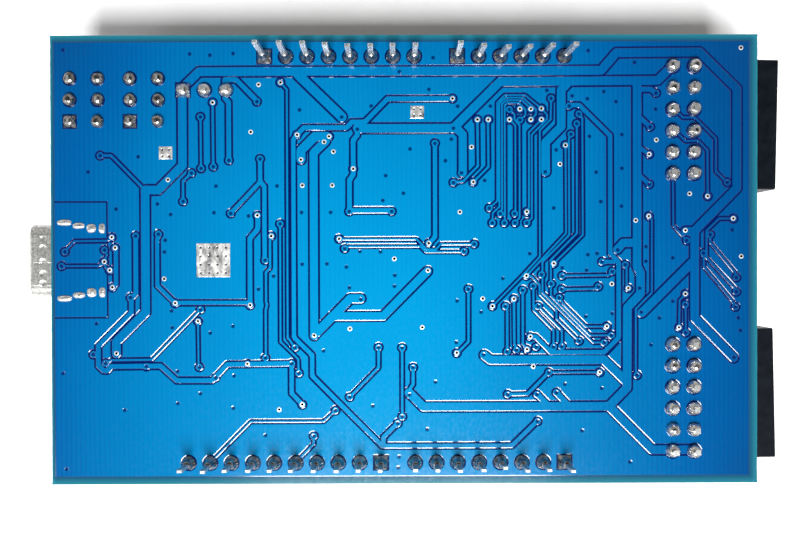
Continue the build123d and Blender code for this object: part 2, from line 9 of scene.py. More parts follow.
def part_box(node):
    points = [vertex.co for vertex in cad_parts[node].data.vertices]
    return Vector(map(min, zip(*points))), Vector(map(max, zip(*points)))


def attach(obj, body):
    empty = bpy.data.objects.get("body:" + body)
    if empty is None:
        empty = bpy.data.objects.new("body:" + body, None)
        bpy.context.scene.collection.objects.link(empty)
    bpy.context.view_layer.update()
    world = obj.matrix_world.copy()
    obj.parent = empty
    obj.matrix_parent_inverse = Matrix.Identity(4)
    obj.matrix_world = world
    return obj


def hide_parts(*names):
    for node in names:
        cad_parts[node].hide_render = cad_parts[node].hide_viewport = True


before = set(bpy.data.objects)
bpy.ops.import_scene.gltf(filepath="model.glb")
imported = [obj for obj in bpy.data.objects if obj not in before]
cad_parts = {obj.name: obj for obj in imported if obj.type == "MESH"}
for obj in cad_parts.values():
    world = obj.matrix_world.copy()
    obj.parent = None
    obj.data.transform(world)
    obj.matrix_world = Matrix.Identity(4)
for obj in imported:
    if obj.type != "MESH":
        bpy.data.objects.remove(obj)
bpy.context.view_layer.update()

random.seed(7)
MM = 0.001

# ---- sizes shared with the CAD model, in millimetres ----
board_low, board_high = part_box("board_laminate")
BOARD_W = round((board_high[0] - board_low[0]) / MM, 3)
BOARD_D = round((board_high[1] - board_low[1]) / MM, 3)
SOLDER_Z = round(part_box("solder_side_mask")[1][2] / MM, 3)
COMPONENT_Z = round(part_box("component_side_mask")[0][2] / MM, 3)
SHELL_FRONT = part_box("usb_shell")[0][0] / MM
PITCH = 2.54
ROW_Y = 24.13
LAST_X = 19.0
DIGITAL_GAP = 4.064
EDGE_X, EDGE_MIDDLE_Y = 34.44, 16.51
SWITCH_X, SWITCH_Y, SWITCH_ROW = (-38.0, -30.85), 19.02, 3.32
JUMPER_X, JUMPER_Y = -23.68, 20.17
PAD_R, EDGE_PAD_R, SWITCH_PAD_R = 0.86, 0.84, 0.76
CONTACT_TOP = 6.8
# Slots of the USB shell: distance in from the board's edge, distance from the middle, length, width.
USB_SLOTS = [
    (1.65, 4.5, 1.75, 0.75),
    (3.35, 4.12, 1.45, 0.75),
    (4.85, 3.82, 1.15, 1.1),
    (6.1, 3.78, 0.8, 1.2),
]
# Tinned pads on the solder side: middle, length, width, vias along each side.
THERMAL_PADS = [(-22.7, 0.0, 4.0, 4.0, 4), (-28.3, 12.75, 1.6, 1.5, 2), (1.56, 17.5, 1.6, 1.5, 2)]

# ---- sizes of the relief over the copper, in millimetres ----
CLEARANCE = 0.30  # from a track or via to the copper poured around it
CUT_W = 0.26  # width of a cut between two pours
WALL = 0.11  # run of the slope from copper down into a groove
SLACK = 0.03  # how far a bend's straight sides may stray from its arc
GROOVE = 0.028  # depth of a groove
FACE_SINK = 0.006  # how far the mask lies under the CAD model's top face
VIA_R, RING_R, HOLE_R = 0.37, 0.28, 0.155  # copper around a via, its open ring, its bore
RING_SINK, RING_SWELL, BORE_DEPTH = 0.012, 0.01, 0.9
VIA_SIDES, HOLE_SIDES, PAD_SIDES = 14, 10, 28
DIMPLE_R, DIMPLE_EDGE, DIMPLE_DEPTH = 0.17, 0.29, 0.02
DIMPLE_SHADE = 0.4
PAD_CLEAR, PAD_OVERLAP = 0.14, 0.02  # from a pad to the copper around it, and in under its joint
LEFT, RIGHT, TOP, BOTTOM = -41.5, 40.95, 25.82, -25.68  # limits of the poured copper
POUR = ((LEFT + RIGHT) / 2, (TOP + BOTTOM) / 2, RIGHT - LEFT, TOP - BOTTOM)
THERMAL_VIA_R, THERMAL_RING_R, THERMAL_VIA_DEPTH = 0.1, 0.19, 0.05
THERMAL_PROUD, THERMAL_BEVEL = 0.012, 0.04
ROUTER_MARKS = [(140, 0.02), (110, 0.07)]  # points along a long and a short edge, depth of the marks

# ---- copper on the solder side, placed on a 0.05 mm grid: (width, points along the middle) ----
TRACKS = [
    (0.95, [(-26.3, 20.2), (-26.3, 11.25), (-29.2, 8.35), (-30.75, 8.35), (-30.75, -6.15),
     (-34.25, -9.65), (-34.25, -11.05)]),
    (0.95, [(-26.3, 20.4), (-24.3, 22.35), (23.4, 22.4), (25.2, 24.5), (35.1, 24.55), (39.5, 20.2),
     (39.5, 8.4), (34.5, 3.35), (34.5, -7.0), (39.15, -11.75)]),
    (0.9, [(33.4, 3.3), (34.6, 3.3)]),
    (0.95, [(34.5, -0.1), (28.2, -6.4)]),
    (0.95, [(31.9, 23.0), (30.1, 21.2), (11.4, 21.1), (5.85, 15.6), (-5.55, 15.6)]),
    (0.9, [(5.85, 15.6), (6.2, 15.6), (6.95, 14.85), (6.95, 10.3)]),
    (1.05, [(-12.6, 22.0), (-7.4, 16.95)]),
    (0.95, [(27.65, 21.2), (27.65, -0.9), (28.05, -1.6), (28.05, -4.1), (26.5, -5.75), (26.45, -15.3),
     (24.3, -17.5), (2.2, -17.5), (0.5, -15.8)]),
    (0.9, [(27.6, 1.95), (26.0, 1.95), (25.3, 1.15)]),
    (0.95, [(24.35, -17.55), (29.45, -22.7), (34.3, -22.7)]),
    (0.3, [(1.0, -12.8), (1.0, -14.8), (0.5, -15.5)]),
    (0.95, [(9.45, -11.35), (10.2, -11.95), (23.7, -11.95), (26.3, -14.5)]),
    (0.95, [(19.6, 21.1), (18.65, 20.1), (18.65, 15.75), (16.8, 13.9), (16.8, 10.4)]),
    (0.5, [(27.8, 20.15), (29.3, 20.15), (29.85, 19.7)]),
    (0.45, [(27.8, 17.0), (29.2, 15.7)]),
    (0.4, [(27.9, 13.3), (29.1, 12.45)]),
    (0.4, [(27.9, 10.0), (29.1, 8.9)]),
    (0.22, [(-36.05, 12.45), (-34.75, 12.45), (-31.0, 8.6)]),
    (0.5, [(-21.25, 20.6), (-21.25, 21.4), (-19.9, 21.4), (-17.45, 18.9)]),
    (0.5, [(-21.25, 20.2), (-21.25, 19.2), (-20.8, 18.75), (-20.8, 11.9)]),
    (0.16, [(-24.15, 17.0), (-24.1, 10.9)]),
    (0.2, [(-22.7, 18.7), (-22.65, 11.1)]),
    (0.2, [(-25.25, 10.35), (-26.25, 9.4), (-26.25, 7.0)]),
    (0.16, [(-14.65, 21.05), (-13.9, 20.2), (-13.9, -9.2), (-13.05, -10.4)]),
    (0.45, [(-12.7, 14.85), (-13.15, 14.3), (-13.15, -9.2), (-11.0, -11.3), (-11.0, -13.8),
     (-3.0, -21.85), (-2.7, -22.15), (12.75, -22.15), (15.8, -19.2)]),
    (0.5, [(-12.7, 14.85), (-11.9, 15.7), (-6.8, 15.7), (-6.2, 16.35), (-4.65, 16.35), (-1.95, 19.1),
     (5.75, 19.1)]),
    (0.9, [(-10.75, -9.0), (-10.75, 12.7), (-9.3, 14.1)]),
    (1.0, [(-12.25, 11.95), (-12.25, 13.0), (-10.6, 14.65), (-9.2, 14.65)]),
    (0.5, [(-5.55, 15.5), (-5.55, 14.8), (-6.05, 14.2), (-6.05, 10.1), (-6.5, 9.5), (-6.5, 5.85),
     (-1.5, 5.85)]),
    (0.45, [(-17.1, 12.0), (-17.1, 9.35), (-16.6, 8.75), (-16.6, 0.0)]),
    (0.4, [(-17.1, 9.3), (-17.4, 8.95), (-20.6, 5.6)]),
    (0.5, [(-17.4, 5.3), (-17.4, 3.7), (-18.35, 2.6), (-18.35, -5.3)]),
    (0.2, [(-15.8, 2.85), (-15.95, 2.3), (-15.95, -0.9), (-16.45, -1.45), (-16.45, -4.9), (-16.35, -5.4),
     (-16.5, -5.9), (-16.5, -11.6)]),
    (0.16, [(-14.75, 4.3), (-14.75, 3.8), (-14.75, -9.7), (-12.65, -11.8), (-12.6, -13.4)]),
    (0.95, [(-10.4, -8.6), (-6.45, -4.6), (-5.2, -4.6)]),
    (0.9, [(-10.75, -8.9), (-8.6, -6.7), (-2.55, -6.7), (2.75, -1.35)]),
    (0.14, [(-7.75, 2.5), (-7.4, 2.45), (1.45, 2.45), (2.65, 1.2), (3.75, 1.2), (4.3, 1.85),
     (8.3, 1.85)]),
    (0.14, [(-7.1, 1.35), (-6.6, 1.6), (1.9, 1.6), (2.5, 0.95), (7.1, 0.95)]),
    (0.45, [(3.65, 13.8), (3.65, 2.7), (2.95, 1.95)]),
    (0.22, [(7.6, -3.5), (7.6, -9.75), (6.3, -11.05)]),
    (0.14, [(10.45, -5.55), (13.9, -2.05), (16.1, 0.35), (16.1, 15.3), (17.4, 16.6), (17.45, 19.1)]),
    (0.18, [(18.75, -1.95), (24.3, -1.9), (24.7, -1.45)]),
    (0.18, [(18.7, -3.55), (22.7, -3.5), (23.05, -3.25)]),
    (0.2, [(12.0, -5.55), (12.2, -6.0), (12.2, -10.95)]),
    (0.2, [(13.0, -4.7), (13.05, -10.0), (13.3, -10.7)]),
    (0.2, [(14.05, -3.65), (14.05, -10.0), (14.55, -10.7)]),
    (0.16, [(15.3, -3.15), (15.35, -6.0), (17.7, -8.4), (17.7, -10.4)]),
    (0.16, [(15.9, -5.55), (18.7, -8.4), (18.7, -10.35)]),
    (0.14, [(14.5, -1.95), (15.1, -2.0), (16.05, -3.0), (16.05, -4.1), (18.05, -6.1), (18.05, -7.0),
     (20.75, -9.7)]),
    (0.14, [(19.15, 13.55), (19.2, 3.1), (14.5, -1.95)]),
    (0.14, [(19.8, 14.85), (19.55, 14.3), (19.6, 2.9), (16.4, -0.3), (16.4, -3.9), (22.45, -9.9),
     (23.75, -9.9)]),
    (0.14, [(20.5, 16.1), (20.5, 3.1), (17.4, -0.05), (17.4, -4.3), (22.1, -9.05), (24.6, -9.05)]),
    (0.14, [(20.75, 17.25), (21.15, 16.7), (21.2, 2.9), (17.75, -0.5)]),
    (0.14, [(18.4, -4.55), (18.9, -5.3), (21.6, -8.0), (24.05, -8.0)]),
    (0.12, [(10.1, 6.1), (11.05, 6.95), (11.05, 18.6), (11.95, 19.5), (14.35, 19.5), (16.3, 17.9)]),
    (0.12, [(10.45, 4.35), (10.5, 5.5), (11.3, 6.3), (11.3, 18.5), (12.05, 19.2), (14.1, 19.2),
     (15.65, 17.8), (15.65, 17.2), (15.05, 16.6)]),
    (0.12, [(11.4, 5.45), (11.6, 6.0), (11.6, 18.4), (12.15, 18.9), (13.95, 18.9), (15.05, 17.85)]),
    (0.12, [(11.9, 4.35), (11.95, 5.0), (11.95, 18.3), (12.3, 18.6), (13.6, 18.6), (14.4, 17.8),
     (14.4, 17.1), (13.75, 16.55)]),
    (0.12, [(12.5, 16.6), (13.2, 15.9), (13.2, 5.45)]),
    (0.12, [(12.5, 17.8), (13.1, 17.2), (13.1, 16.6), (13.7, 15.9), (13.7, 5.0), (13.15, 4.35)]),
    (0.12, [(16.3, 16.6), (14.8, 15.1), (14.8, 6.2), (14.55, 5.65)]),
    (0.12, [(16.3, 17.9), (16.95, 17.2), (16.95, 16.6), (15.15, 14.8), (15.15, 4.9), (14.55, 4.35)]),
    (0.2, [(8.7, 16.6), (8.75, 11.1), (7.0, 9.3), (5.85, 9.15)]),
    (0.2, [(9.95, 16.6), (10.0, 11.0), (8.2, 9.2)]),
    (0.45, [(19.6, 18.3), (20.8, 18.3), (24.45, 14.7), (24.45, 0.75), (25.45, -0.35), (25.45, -9.35),
     (23.75, -11.05), (17.4, -11.05), (15.6, -9.2), (14.95, -9.2)]),
    (0.4, [(23.5, -0.3), (24.9, -0.3)]),
    (0.14, [(26.25, -0.65), (26.4, -1.2), (26.4, -2.9), (26.6, -3.45)]),
    (0.14, [(29.05, 5.1), (29.4, 4.7), (29.4, -4.0), (27.5, -5.9), (27.5, -13.2), (27.65, -13.8)]),
    (0.14, [(31.9, 10.4), (31.95, 4.0), (33.55, 2.2)]),
    (0.16, [(36.05, 7.45), (36.0, 12.9), (34.9, 14.05), (33.4, 14.0), (31.9, 15.5)]),
    (0.16, [(31.9, 18.0), (33.1, 16.8), (34.5, 16.8), (37.0, 14.3), (37.0, 10.4), (38.35, 9.1)]),
    (0.16, [(36.35, 2.9), (36.35, 2.0), (39.3, -1.6), (39.45, -2.2)]),
    (0.16, [(39.1, 4.8), (37.4, 4.8), (35.9, 3.35), (35.9, 0.2), (39.2, -3.4), (39.45, -3.9)]),
    (0.16, [(35.55, 0.7), (35.6, -0.9), (39.0, -5.0), (39.35, -5.7)]),
    (0.14, [(33.4, -4.15), (32.7, -4.9), (32.65, -8.15)]),
    (0.14, [(33.4, -5.4), (33.45, -8.7)]),
    (0.16, [(17.15, -13.45), (23.2, -13.45)]),
    (0.3, [(17.15, -13.45), (14.6, -16.0), (12.25, -16.05)]),
    (0.6, [(15.75, -16.0), (16.9, -17.2)]),
    (0.6, [(18.05, -15.85), (19.3, -17.2)]),
    (0.2, [(-0.3, -10.45), (-0.3, -18.65)]),
    (0.45, [(-0.85, -19.45), (-2.55, -21.1), (-2.55, -22.1)]),
    (0.24, [(-3.1, -10.4), (-3.1, -12.8), (-6.55, -16.3)]),
    (0.14, [(-8.25, -17.9), (-9.65, -19.2), (-18.35, -19.2), (-23.0, -23.9)]),
    (0.2, [(-10.85, -20.95), (-10.85, -21.9), (-12.9, -24.0)]),
    (0.5, [(-31.9, 2.9), (-31.9, -3.9), (-32.45, -4.5), (-32.45, -6.2), (-36.4, -10.15), (-36.4, -12.5),
     (-35.8, -13.1), (-35.3, -13.1), (-34.9, -12.6), (-29.0, -12.55), (-27.1, -14.3), (-22.9, -14.3),
     (-22.4, -13.8), (-21.1, -12.4), (-13.45, -12.3)]),
    (0.16, [(-24.25, -5.85), (-30.05, -11.8), (-34.9, -11.85), (-35.5, -12.2)]),
    (0.4, [(-29.2, 3.1), (-29.35, 2.4), (-29.35, -3.0), (-27.3, -5.05), (-18.35, -5.05)]),
    (0.14, [(-24.55, -7.25), (-24.5, -12.7)]),
    (0.14, [(-40.3, 1.1), (-39.2, 2.3), (-35.3, 2.35), (-34.75, 2.75)]),
    (0.14, [(-40.7, -0.65), (-36.3, -0.65), (-35.65, -0.15)]),
    (0.45, [(-34.35, 1.5), (-34.25, 1.1), (-34.25, -2.8), (-34.7, -3.2)]),
    (0.14, [(-35.6, 1.25), (-35.3, 0.7), (-35.65, -0.15), (-35.5, -0.8), (-35.0, -1.15)]),
    (0.45, [(-13.45, -12.3), (-13.45, -15.85), (-12.2, -17.15)]),
]
# Cuts that part one pour from the next.
CUTS = [
    [(-41.6, 6.95), (-35.3, 6.95), (-35.25, -6.8), (-41.6, -6.8)],
    [(24.05, -11.45), (25.6, -9.9)],
]
# Vias: open and on a track, open and in the pour, covered by mask on a track, covered and in the pour.
OPEN_VIAS = [
    (-14.65, 21.05), (-22.7, 18.7), (-12.7, 14.85), (-12.25, 11.9), (-9.5, 14.0), (-8.9, 14.65),
    (-6.05, 10.8), (5.75, 19.1), (13.75, 17.85), (15.05, 17.85), (16.3, 17.9), (12.5, 16.6),
    (15.05, 16.6), (16.3, 16.6), (8.7, 16.6), (10.0, 16.6), (19.15, 13.55), (8.2, 9.2), (-17.45, 5.3),
    (-15.8, 2.85), (-18.35, -5.35), (-7.75, 2.5), (2.9, 1.95), (14.55, 5.65), (2.8, -1.3), (10.45, -5.55),
    (14.5, -1.95), (17.75, -0.5), (13.0, -4.7), (-34.75, 2.75), (-34.35, 1.5), (-35.65, -0.15),
    (-35.0, -1.15), (-34.7, -3.2), (-27.25, -5.1), (-24.55, -7.25), (-34.25, -11.05), (-18.7, -12.35),
    (-12.2, -17.2), (6.2, -11.1), (14.95, -9.2), (14.55, -10.7), (23.2, -13.45), (24.05, -8.0),
    (26.6, -3.45), (29.05, 5.1), (27.5, 4.6), (33.4, 3.4), (36.05, 7.45), (39.1, 4.8), (33.4, -4.15),
    (32.65, -8.15), (29.1, 12.45), (-10.75, -9.0),
]
FREE_VIAS = [
    (-28.05, 9.55), (-17.25, 20.8), (-18.2, 15.2), (-8.4, 12.85), (-12.1, 8.85), (-8.55, 8.85),
    (8.0, 13.35), (18.5, 11.3), (6.6, 5.65), (-1.2, 0.1), (-6.5, -8.2), (2.1, -8.05), (9.3, -4.65),
    (15.3, -12.75), (-14.95, -17.8), (-28.55, -2.2), (24.65, -2.95), (40.05, 0.3), (33.9, 7.75),
    (29.95, 14.15), (40.0, 25.05),
]
COVERED_VIAS = [
    (-36.05, 12.45), (-24.15, 17.0), (-24.1, 10.9), (-22.65, 11.1), (-25.25, 10.35), (-26.25, 7.0),
    (-20.8, 11.85), (-17.45, 18.8), (-7.4, 16.95), (-17.1, 12.0), (-20.6, 5.55), (-16.55, 0.0),
    (-16.55, -11.6), (-14.75, 4.3), (-6.55, 5.75), (-1.5, 5.75), (-5.55, 15.5), (3.65, 13.8), (6.8, 10.3),
    (5.85, 9.15), (8.3, 1.85), (7.1, 1.0), (-7.1, 1.35), (12.5, 17.8), (13.75, 16.55), (17.45, 19.1),
    (19.8, 14.85), (20.5, 16.1), (20.75, 17.25), (19.6, 18.2), (16.75, 10.4), (10.1, 6.1), (10.45, 4.35),
    (11.4, 5.45), (11.9, 4.35), (13.1, 5.45), (13.15, 4.35), (14.55, 4.35), (7.6, -3.5), (16.3, -1.8),
    (15.3, -3.15), (14.05, -3.65), (12.0, -5.55), (15.9, -5.55), (17.45, -2.9), (18.75, -1.95),
    (18.7, -3.55), (18.4, -4.55), (12.2, -10.95), (13.3, -10.75), (15.65, -10.4), (17.7, -10.4),
    (18.7, -10.35), (20.75, -9.7), (17.15, -13.45), (12.25, -16.05), (15.75, -16.05), (18.05, -15.85),
    (15.8, -19.25), (9.4, -11.3), (1.0, -12.8), (0.55, -16.05), (-0.3, -10.45), (-0.3, -18.65),
    (-0.85, -19.45), (-3.1, -10.4), (-6.55, -16.3), (-8.25, -17.9), (-10.85, -20.95), (-13.45, -12.3),
    (-12.6, -13.45), (-13.05, -10.4), (-22.5, -13.95), (-30.7, -12.6), (-35.55, -12.2), (-37.0, -11.15),
    (-32.55, -4.4), (-31.9, 2.9), (-29.2, 3.1), (-24.25, -5.85), (-24.4, -12.7), (-35.6, 1.25),
    (-40.3, 1.05), (-40.7, -0.65), (23.5, -0.3), (25.35, 1.1), (24.7, -1.45), (23.05, -3.25),
    (26.25, -0.65), (28.15, -6.3), (27.65, -13.8), (24.6, -9.05), (23.75, -9.9), (33.55, 2.2),
    (38.35, 9.1), (36.35, 2.9), (35.55, 0.7), (39.45, -2.2), (39.45, -3.9), (39.35, -5.7), (33.4, -5.4),
    (33.45, -8.75), (29.2, 15.7), (29.9, 19.7), (29.1, 8.9), (39.2, -11.7), (-5.2, -4.7),
]
STITCHES = [
    (-40.4, 24.95), (-25.4, 24.45), (-23.0, 24.3), (-31.55, 12.3), (-37.5, 10.5), (-22.35, 8.8),
    (-20.25, 24.5), (-12.4, 17.8), (-3.9, 18.25), (-0.55, 22.3), (-2.2, 10.0), (-15.1, 8.8),
    (-18.5, 5.25), (-12.2, 5.65), (-8.75, 5.65), (-2.55, 7.05), (-0.1, 7.9), (-15.55, -1.9),
    (-17.35, -3.45), (-12.15, -0.5), (-9.2, -0.45), (-6.9, -0.85), (-5.3, 1.0), (-2.85, 0.95),
    (-1.15, -1.85), (-1.2, -3.15), (-6.55, -3.3), (-20.4, -7.85), (6.25, -4.9), (9.1, -6.25),
    (11.7, -2.25), (14.9, 0.7), (17.75, 6.1), (18.75, -1.0), (3.45, 23.95), (2.95, 20.2), (6.35, 18.2),
    (10.25, 18.2), (5.85, 15.6), (5.6, 14.3), (0.7, 13.15), (4.9, 11.75), (9.55, 9.4), (16.95, 20.05),
    (19.95, 19.4), (18.05, 13.0), (23.35, 6.85), (25.8, 6.3), (21.8, 0.55), (22.9, 0.7), (21.65, -1.3),
    (28.7, 1.5), (28.7, -0.25), (31.9, 0.15), (27.95, -3.45), (31.9, -5.0), (30.3, -7.0), (24.7, -6.45),
    (21.55, -6.8), (38.95, 3.45), (39.7, -7.0), (39.95, -8.5), (21.85, 24.75), (27.35, 23.35),
    (23.7, 19.9), (21.75, 19.05), (25.15, 18.7), (29.85, 17.8), (22.0, 14.6), (25.85, 14.8),
    (25.85, 10.8), (22.8, 10.35), (-34.2, 6.1), (-29.3, 6.7), (-27.75, 5.45), (-22.6, 5.65), (-28.4, 2.4),
    (-28.5, 1.0), (-27.7, -6.0), (-27.6, -8.0), (-23.1, -8.65), (-36.6, -7.5), (-40.6, -13.4),
    (-27.0, -13.2), (-24.3, -15.85), (-27.0, -17.0), (-33.3, -17.8), (-40.25, -24.8), (-9.65, -10.8),
    (-20.3, -13.75), (-20.4, -17.6), (-16.6, -20.85), (-3.8, -17.4), (-0.7, -23.45), (-0.8, -24.75),
    (29.3, -10.2), (23.45, -15.35), (21.1, -20.4), (26.8, -24.15), (6.15, -9.85), (3.65, -14.55),
    (2.65, -20.2), (19.05, -14.85),
]


def row(count, last_x, y):
    """Pins of one shield socket, from its last one back."""
    return [(last_x - PITCH * i, y) for i in range(count)]


POWER = row(8, LAST_X - 7 * PITCH, ROW_Y)
ANALOG = row(6, LAST_X, ROW_Y)
DIGITAL_LOW = row(8, LAST_X, -ROW_Y)
DIGITAL_HIGH = row(10, LAST_X - 7 * PITCH - DIGITAL_GAP, -ROW_Y)
EDGE_PINS = [
    (EDGE_X - column * PITCH, middle + (i - 2.5) * PITCH)
    for middle in (EDGE_MIDDLE_Y, -EDGE_MIDDLE_Y)
    for column in range(2)
    for i in range(6)
]
SWITCH_PINS = [
    (x + side * SWITCH_ROW / 2, SWITCH_Y + i * PITCH)
    for x in SWITCH_X
    for side in (-1, 1)
    for i in (-1, 0, 1)
]
JUMPER_PINS = [(JUMPER_X + i * PITCH, JUMPER_Y) for i in (-1, 0, 1)]
ALL_PINS = POWER + ANALOG + DIGITAL_LOW + DIGITAL_HIGH + EDGE_PINS + SWITCH_PINS + JUMPER_PINS
# First pins, whose pads are square.
SQUARES = [POWER[-1], ANALOG[-1], DIGITAL_LOW[0], DIGITAL_HIGH[0], JUMPER_PINS[0]]
SQUARES += [(x - SWITCH_ROW / 2, SWITCH_Y - PITCH) for x in SWITCH_X]
# Pads that belong to the pour, with no groove around them.
SOLID_PADS = [(x, EDGE_MIDDLE_Y + 1.5 * PITCH) for x in (EDGE_X, EDGE_X - PITCH)]
SOLID_PADS += [(x, -EDGE_MIDDLE_Y - 1.5 * PITCH) for x in (EDGE_X, EDGE_X - PITCH)]
SOLID_PADS += [(x + SWITCH_ROW / 2, SWITCH_Y - PITCH) for x in SWITCH_X]
ROUND_PADS = [pin for pin in ALL_PINS if pin not in SQUARES]
SEGMENTS = [(a, b, w / 2) for w, points in TRACKS for a, b in zip(points, points[1:])]
CUT_SEGMENTS = [(a, b) for points in CUTS for a, b in zip(points, points[1:])]


# ---- materials ----
def new_material(name):
    """A material, its node tree and its shader."""
    m = bpy.data.materials.new(name)
    m.use_nodes = True
    return m, m.node_tree, m.node_tree.nodes["Principled BSDF"]


def add(nt, kind, **inputs):
    """A node whose inputs are set by name, with _ for a space."""
    node = nt.nodes.new(kind)
    for key, value in inputs.items():
        node.inputs[key.replace("_", " ")].default_value = value
    return node


def grain(nt, size_mm, stretch=(1, 1, 1), detail=3.0):
    """Noise whose features are about size_mm across, stretched along an axis."""
    where = nt.nodes.new("ShaderNodeTexCoord")
    mapping = nt.nodes.new("ShaderNodeMapping")
    mapping.inputs["Scale"].default_value = [1000 / (size_mm * s) for s in stretch]
    nt.links.new(where.outputs["Object"], mapping.inputs["Vector"])
    texture = add(nt, "ShaderNodeTexNoise", Scale=1.0, Detail=detail)
    nt.links.new(mapping.outputs["Vector"], texture.inputs["Vector"])
    return texture


def ramp(nt, source, stops):
    """A colour ramp through (place, colour) stops."""
    node = nt.nodes.new("ShaderNodeValToRGB")
    for element, (place, color) in zip(node.color_ramp.elements, (stops[0], stops[-1])):
        element.position, element.color = place, (*color, 1)
    for place, color in stops[1:-1]:
        node.color_ramp.elements.new(place).color = (*color, 1)
    nt.links.new(source, node.inputs["Fac"])
    return node


def spread(nt, source, low, high):
    """Noise stretched to run from low to high."""
    node = add(nt, "ShaderNodeMapRange", From_Min=0.3, From_Max=0.7, To_Min=low, To_Max=high)
    nt.links.new(source, node.inputs["Value"])
    return node


def bump(nt, source, strength, depth_mm, under=None):
    """Relief from a source, on top of other relief where that is given."""
    node = add(nt, "ShaderNodeBump", Strength=strength, Distance=depth_mm * MM)
    nt.links.new(source, node.inputs["Height"])
    if under:
        nt.links.new(under, node.inputs["Normal"])
    return node.outputs["Normal"]


def surface(name, dark, light, rough, metallic=0.0, size=0.6, stretch=(1, 1, 1), relief=0.3, relief_mm=0.01,
            fine=0.12, coat=0.0, shine=0.5):
    """A material whose colour, roughness and relief vary with two sizes of grain."""
    m, nt, shader = new_material(name)
    coarse = grain(nt, size, stretch)
    small = grain(nt, fine, stretch, detail=4.0)
    color = ramp(nt, coarse.outputs["Fac"], [(0.3, dark), (0.7, light)])
    nt.links.new(color.outputs["Color"], shader.inputs["Base Color"])
    roughness = spread(nt, small.outputs["Fac"], *rough)
    nt.links.new(roughness.outputs["Result"], shader.inputs["Roughness"])
    nt.links.new(bump(nt, small.outputs["Fac"], relief, relief_mm), shader.inputs["Normal"])
    shader.inputs["Metallic"].default_value = metallic
    shader.inputs["Specular IOR Level"].default_value = shine
    if coat:
        shader.inputs["Coat Weight"].default_value = coat
        shader.inputs["Coat Roughness"].default_value = 0.06
    return m


# The mask's colours over copper, from the middle of the board to its ends: a painted pool of light over the
# middle that darkens to painted shade at the ends, and off the copper.
COPPER_PAINTED_LIGHT_STOPS = [
    (0.22, (0.0, 0.21, 0.445)),
    (0.64, (0.0, 0.112, 0.293)),
    (0.77, (0.0, 0.073, 0.235)),
    (0.96, (0.0, 0.042, 0.155)),
]
GROOVE_COLOR = (0.0, 0.007, 0.075, 1)
BARE_COLOR = (0.015, 0.15, 0.20, 1)
# Painted light: the copper's colour is brightest at the shifted middle and darkens towards the board's ends.
PAINTED_LIGHT_REACH = (0.060, 0.0775)  # metres from the brightest place to the ramp's end, along X and Y
PAINTED_LIGHT_SHIFT = (0.067, 0.145, 0.07)
STREAK_SHARE, BLOTCH_SHARE = 0.045, 0.18


def multiply_add(nt, source, factor, rest):
    """source x factor + rest."""
    node = nt.nodes.new("ShaderNodeMath")
    node.operation = "MULTIPLY_ADD"
    node.inputs[1].default_value = factor
    nt.links.new(source, node.inputs[0])
    nt.links.new(rest, node.inputs[2])
    return node.outputs["Value"]


def attribute(nt, name):
    """A value that the mesh carries at each point."""
    node = nt.nodes.new("ShaderNodeAttribute")
    node.attribute_name = name
    return node.outputs["Fac"]


def copper_streaks(nt, where):
    """Faint stripes that run across the board."""
    millimetres = nt.nodes.new("ShaderNodeMapping")
    millimetres.inputs["Scale"].default_value = (1000, 420, 1000)
    nt.links.new(where, millimetres.inputs["Vector"])
    streaks = add(nt, "ShaderNodeTexWave", Scale=0.55, Distortion=1.6, Detail=2.0, Detail_Scale=0.6)
    nt.links.new(millimetres.outputs["Vector"], streaks.inputs["Vector"])
    return streaks.outputs["Fac"]


def copper_color_with_painted_light(nt, where, streaks):
    """Copper seen through the mask: deep blue towards the ends, with painted light brighter over the middle
    of the board and painted shade towards the ends.
    """
    blotches = grain(nt, 14.0, (1, 1.6, 1), detail=2.0)
    # Painted light: the scaled distance from the brightest place picks the colour along the ramp.
    painted_light = nt.nodes.new("ShaderNodeVectorMath")
    painted_light.operation = "MULTIPLY_ADD"
    painted_light.inputs[1].default_value = (1 / PAINTED_LIGHT_REACH[0], 1 / PAINTED_LIGHT_REACH[1], 0)
    painted_light.inputs[2].default_value = PAINTED_LIGHT_SHIFT
    nt.links.new(where, painted_light.inputs[0])
    length = nt.nodes.new("ShaderNodeVectorMath")
    length.operation = "LENGTH"
    nt.links.new(painted_light.outputs["Vector"], length.inputs[0])
    place = multiply_add(nt, streaks, STREAK_SHARE, length.outputs["Value"])
    place = multiply_add(nt, blotches.outputs["Fac"], BLOTCH_SHARE, place)
    return ramp(nt, place, COPPER_PAINTED_LIGHT_STOPS).outputs["Color"]


def mask_color(nt, copper):
    """The copper's colour, turning to the groove's or the bare edge's where the mesh is low."""
    gap = nt.nodes.new("ShaderNodeMix")
    gap.data_type = "RGBA"
    gap.inputs["A"].default_value = GROOVE_COLOR
    gap.inputs["B"].default_value = BARE_COLOR
    nt.links.new(attribute(nt, "bare"), gap.inputs["Factor"])
    steep = add(nt, "ShaderNodeMapRange", From_Max=0.45)
    nt.links.new(attribute(nt, "low"), steep.inputs["Value"])
    final = nt.nodes.new("ShaderNodeMix")
    final.data_type = "RGBA"
    nt.links.new(steep.outputs["Result"], final.inputs["Factor"])
    nt.links.new(copper, final.inputs["A"])
    nt.links.new(gap.outputs["Result"], final.inputs["B"])
    return final.outputs["Result"]


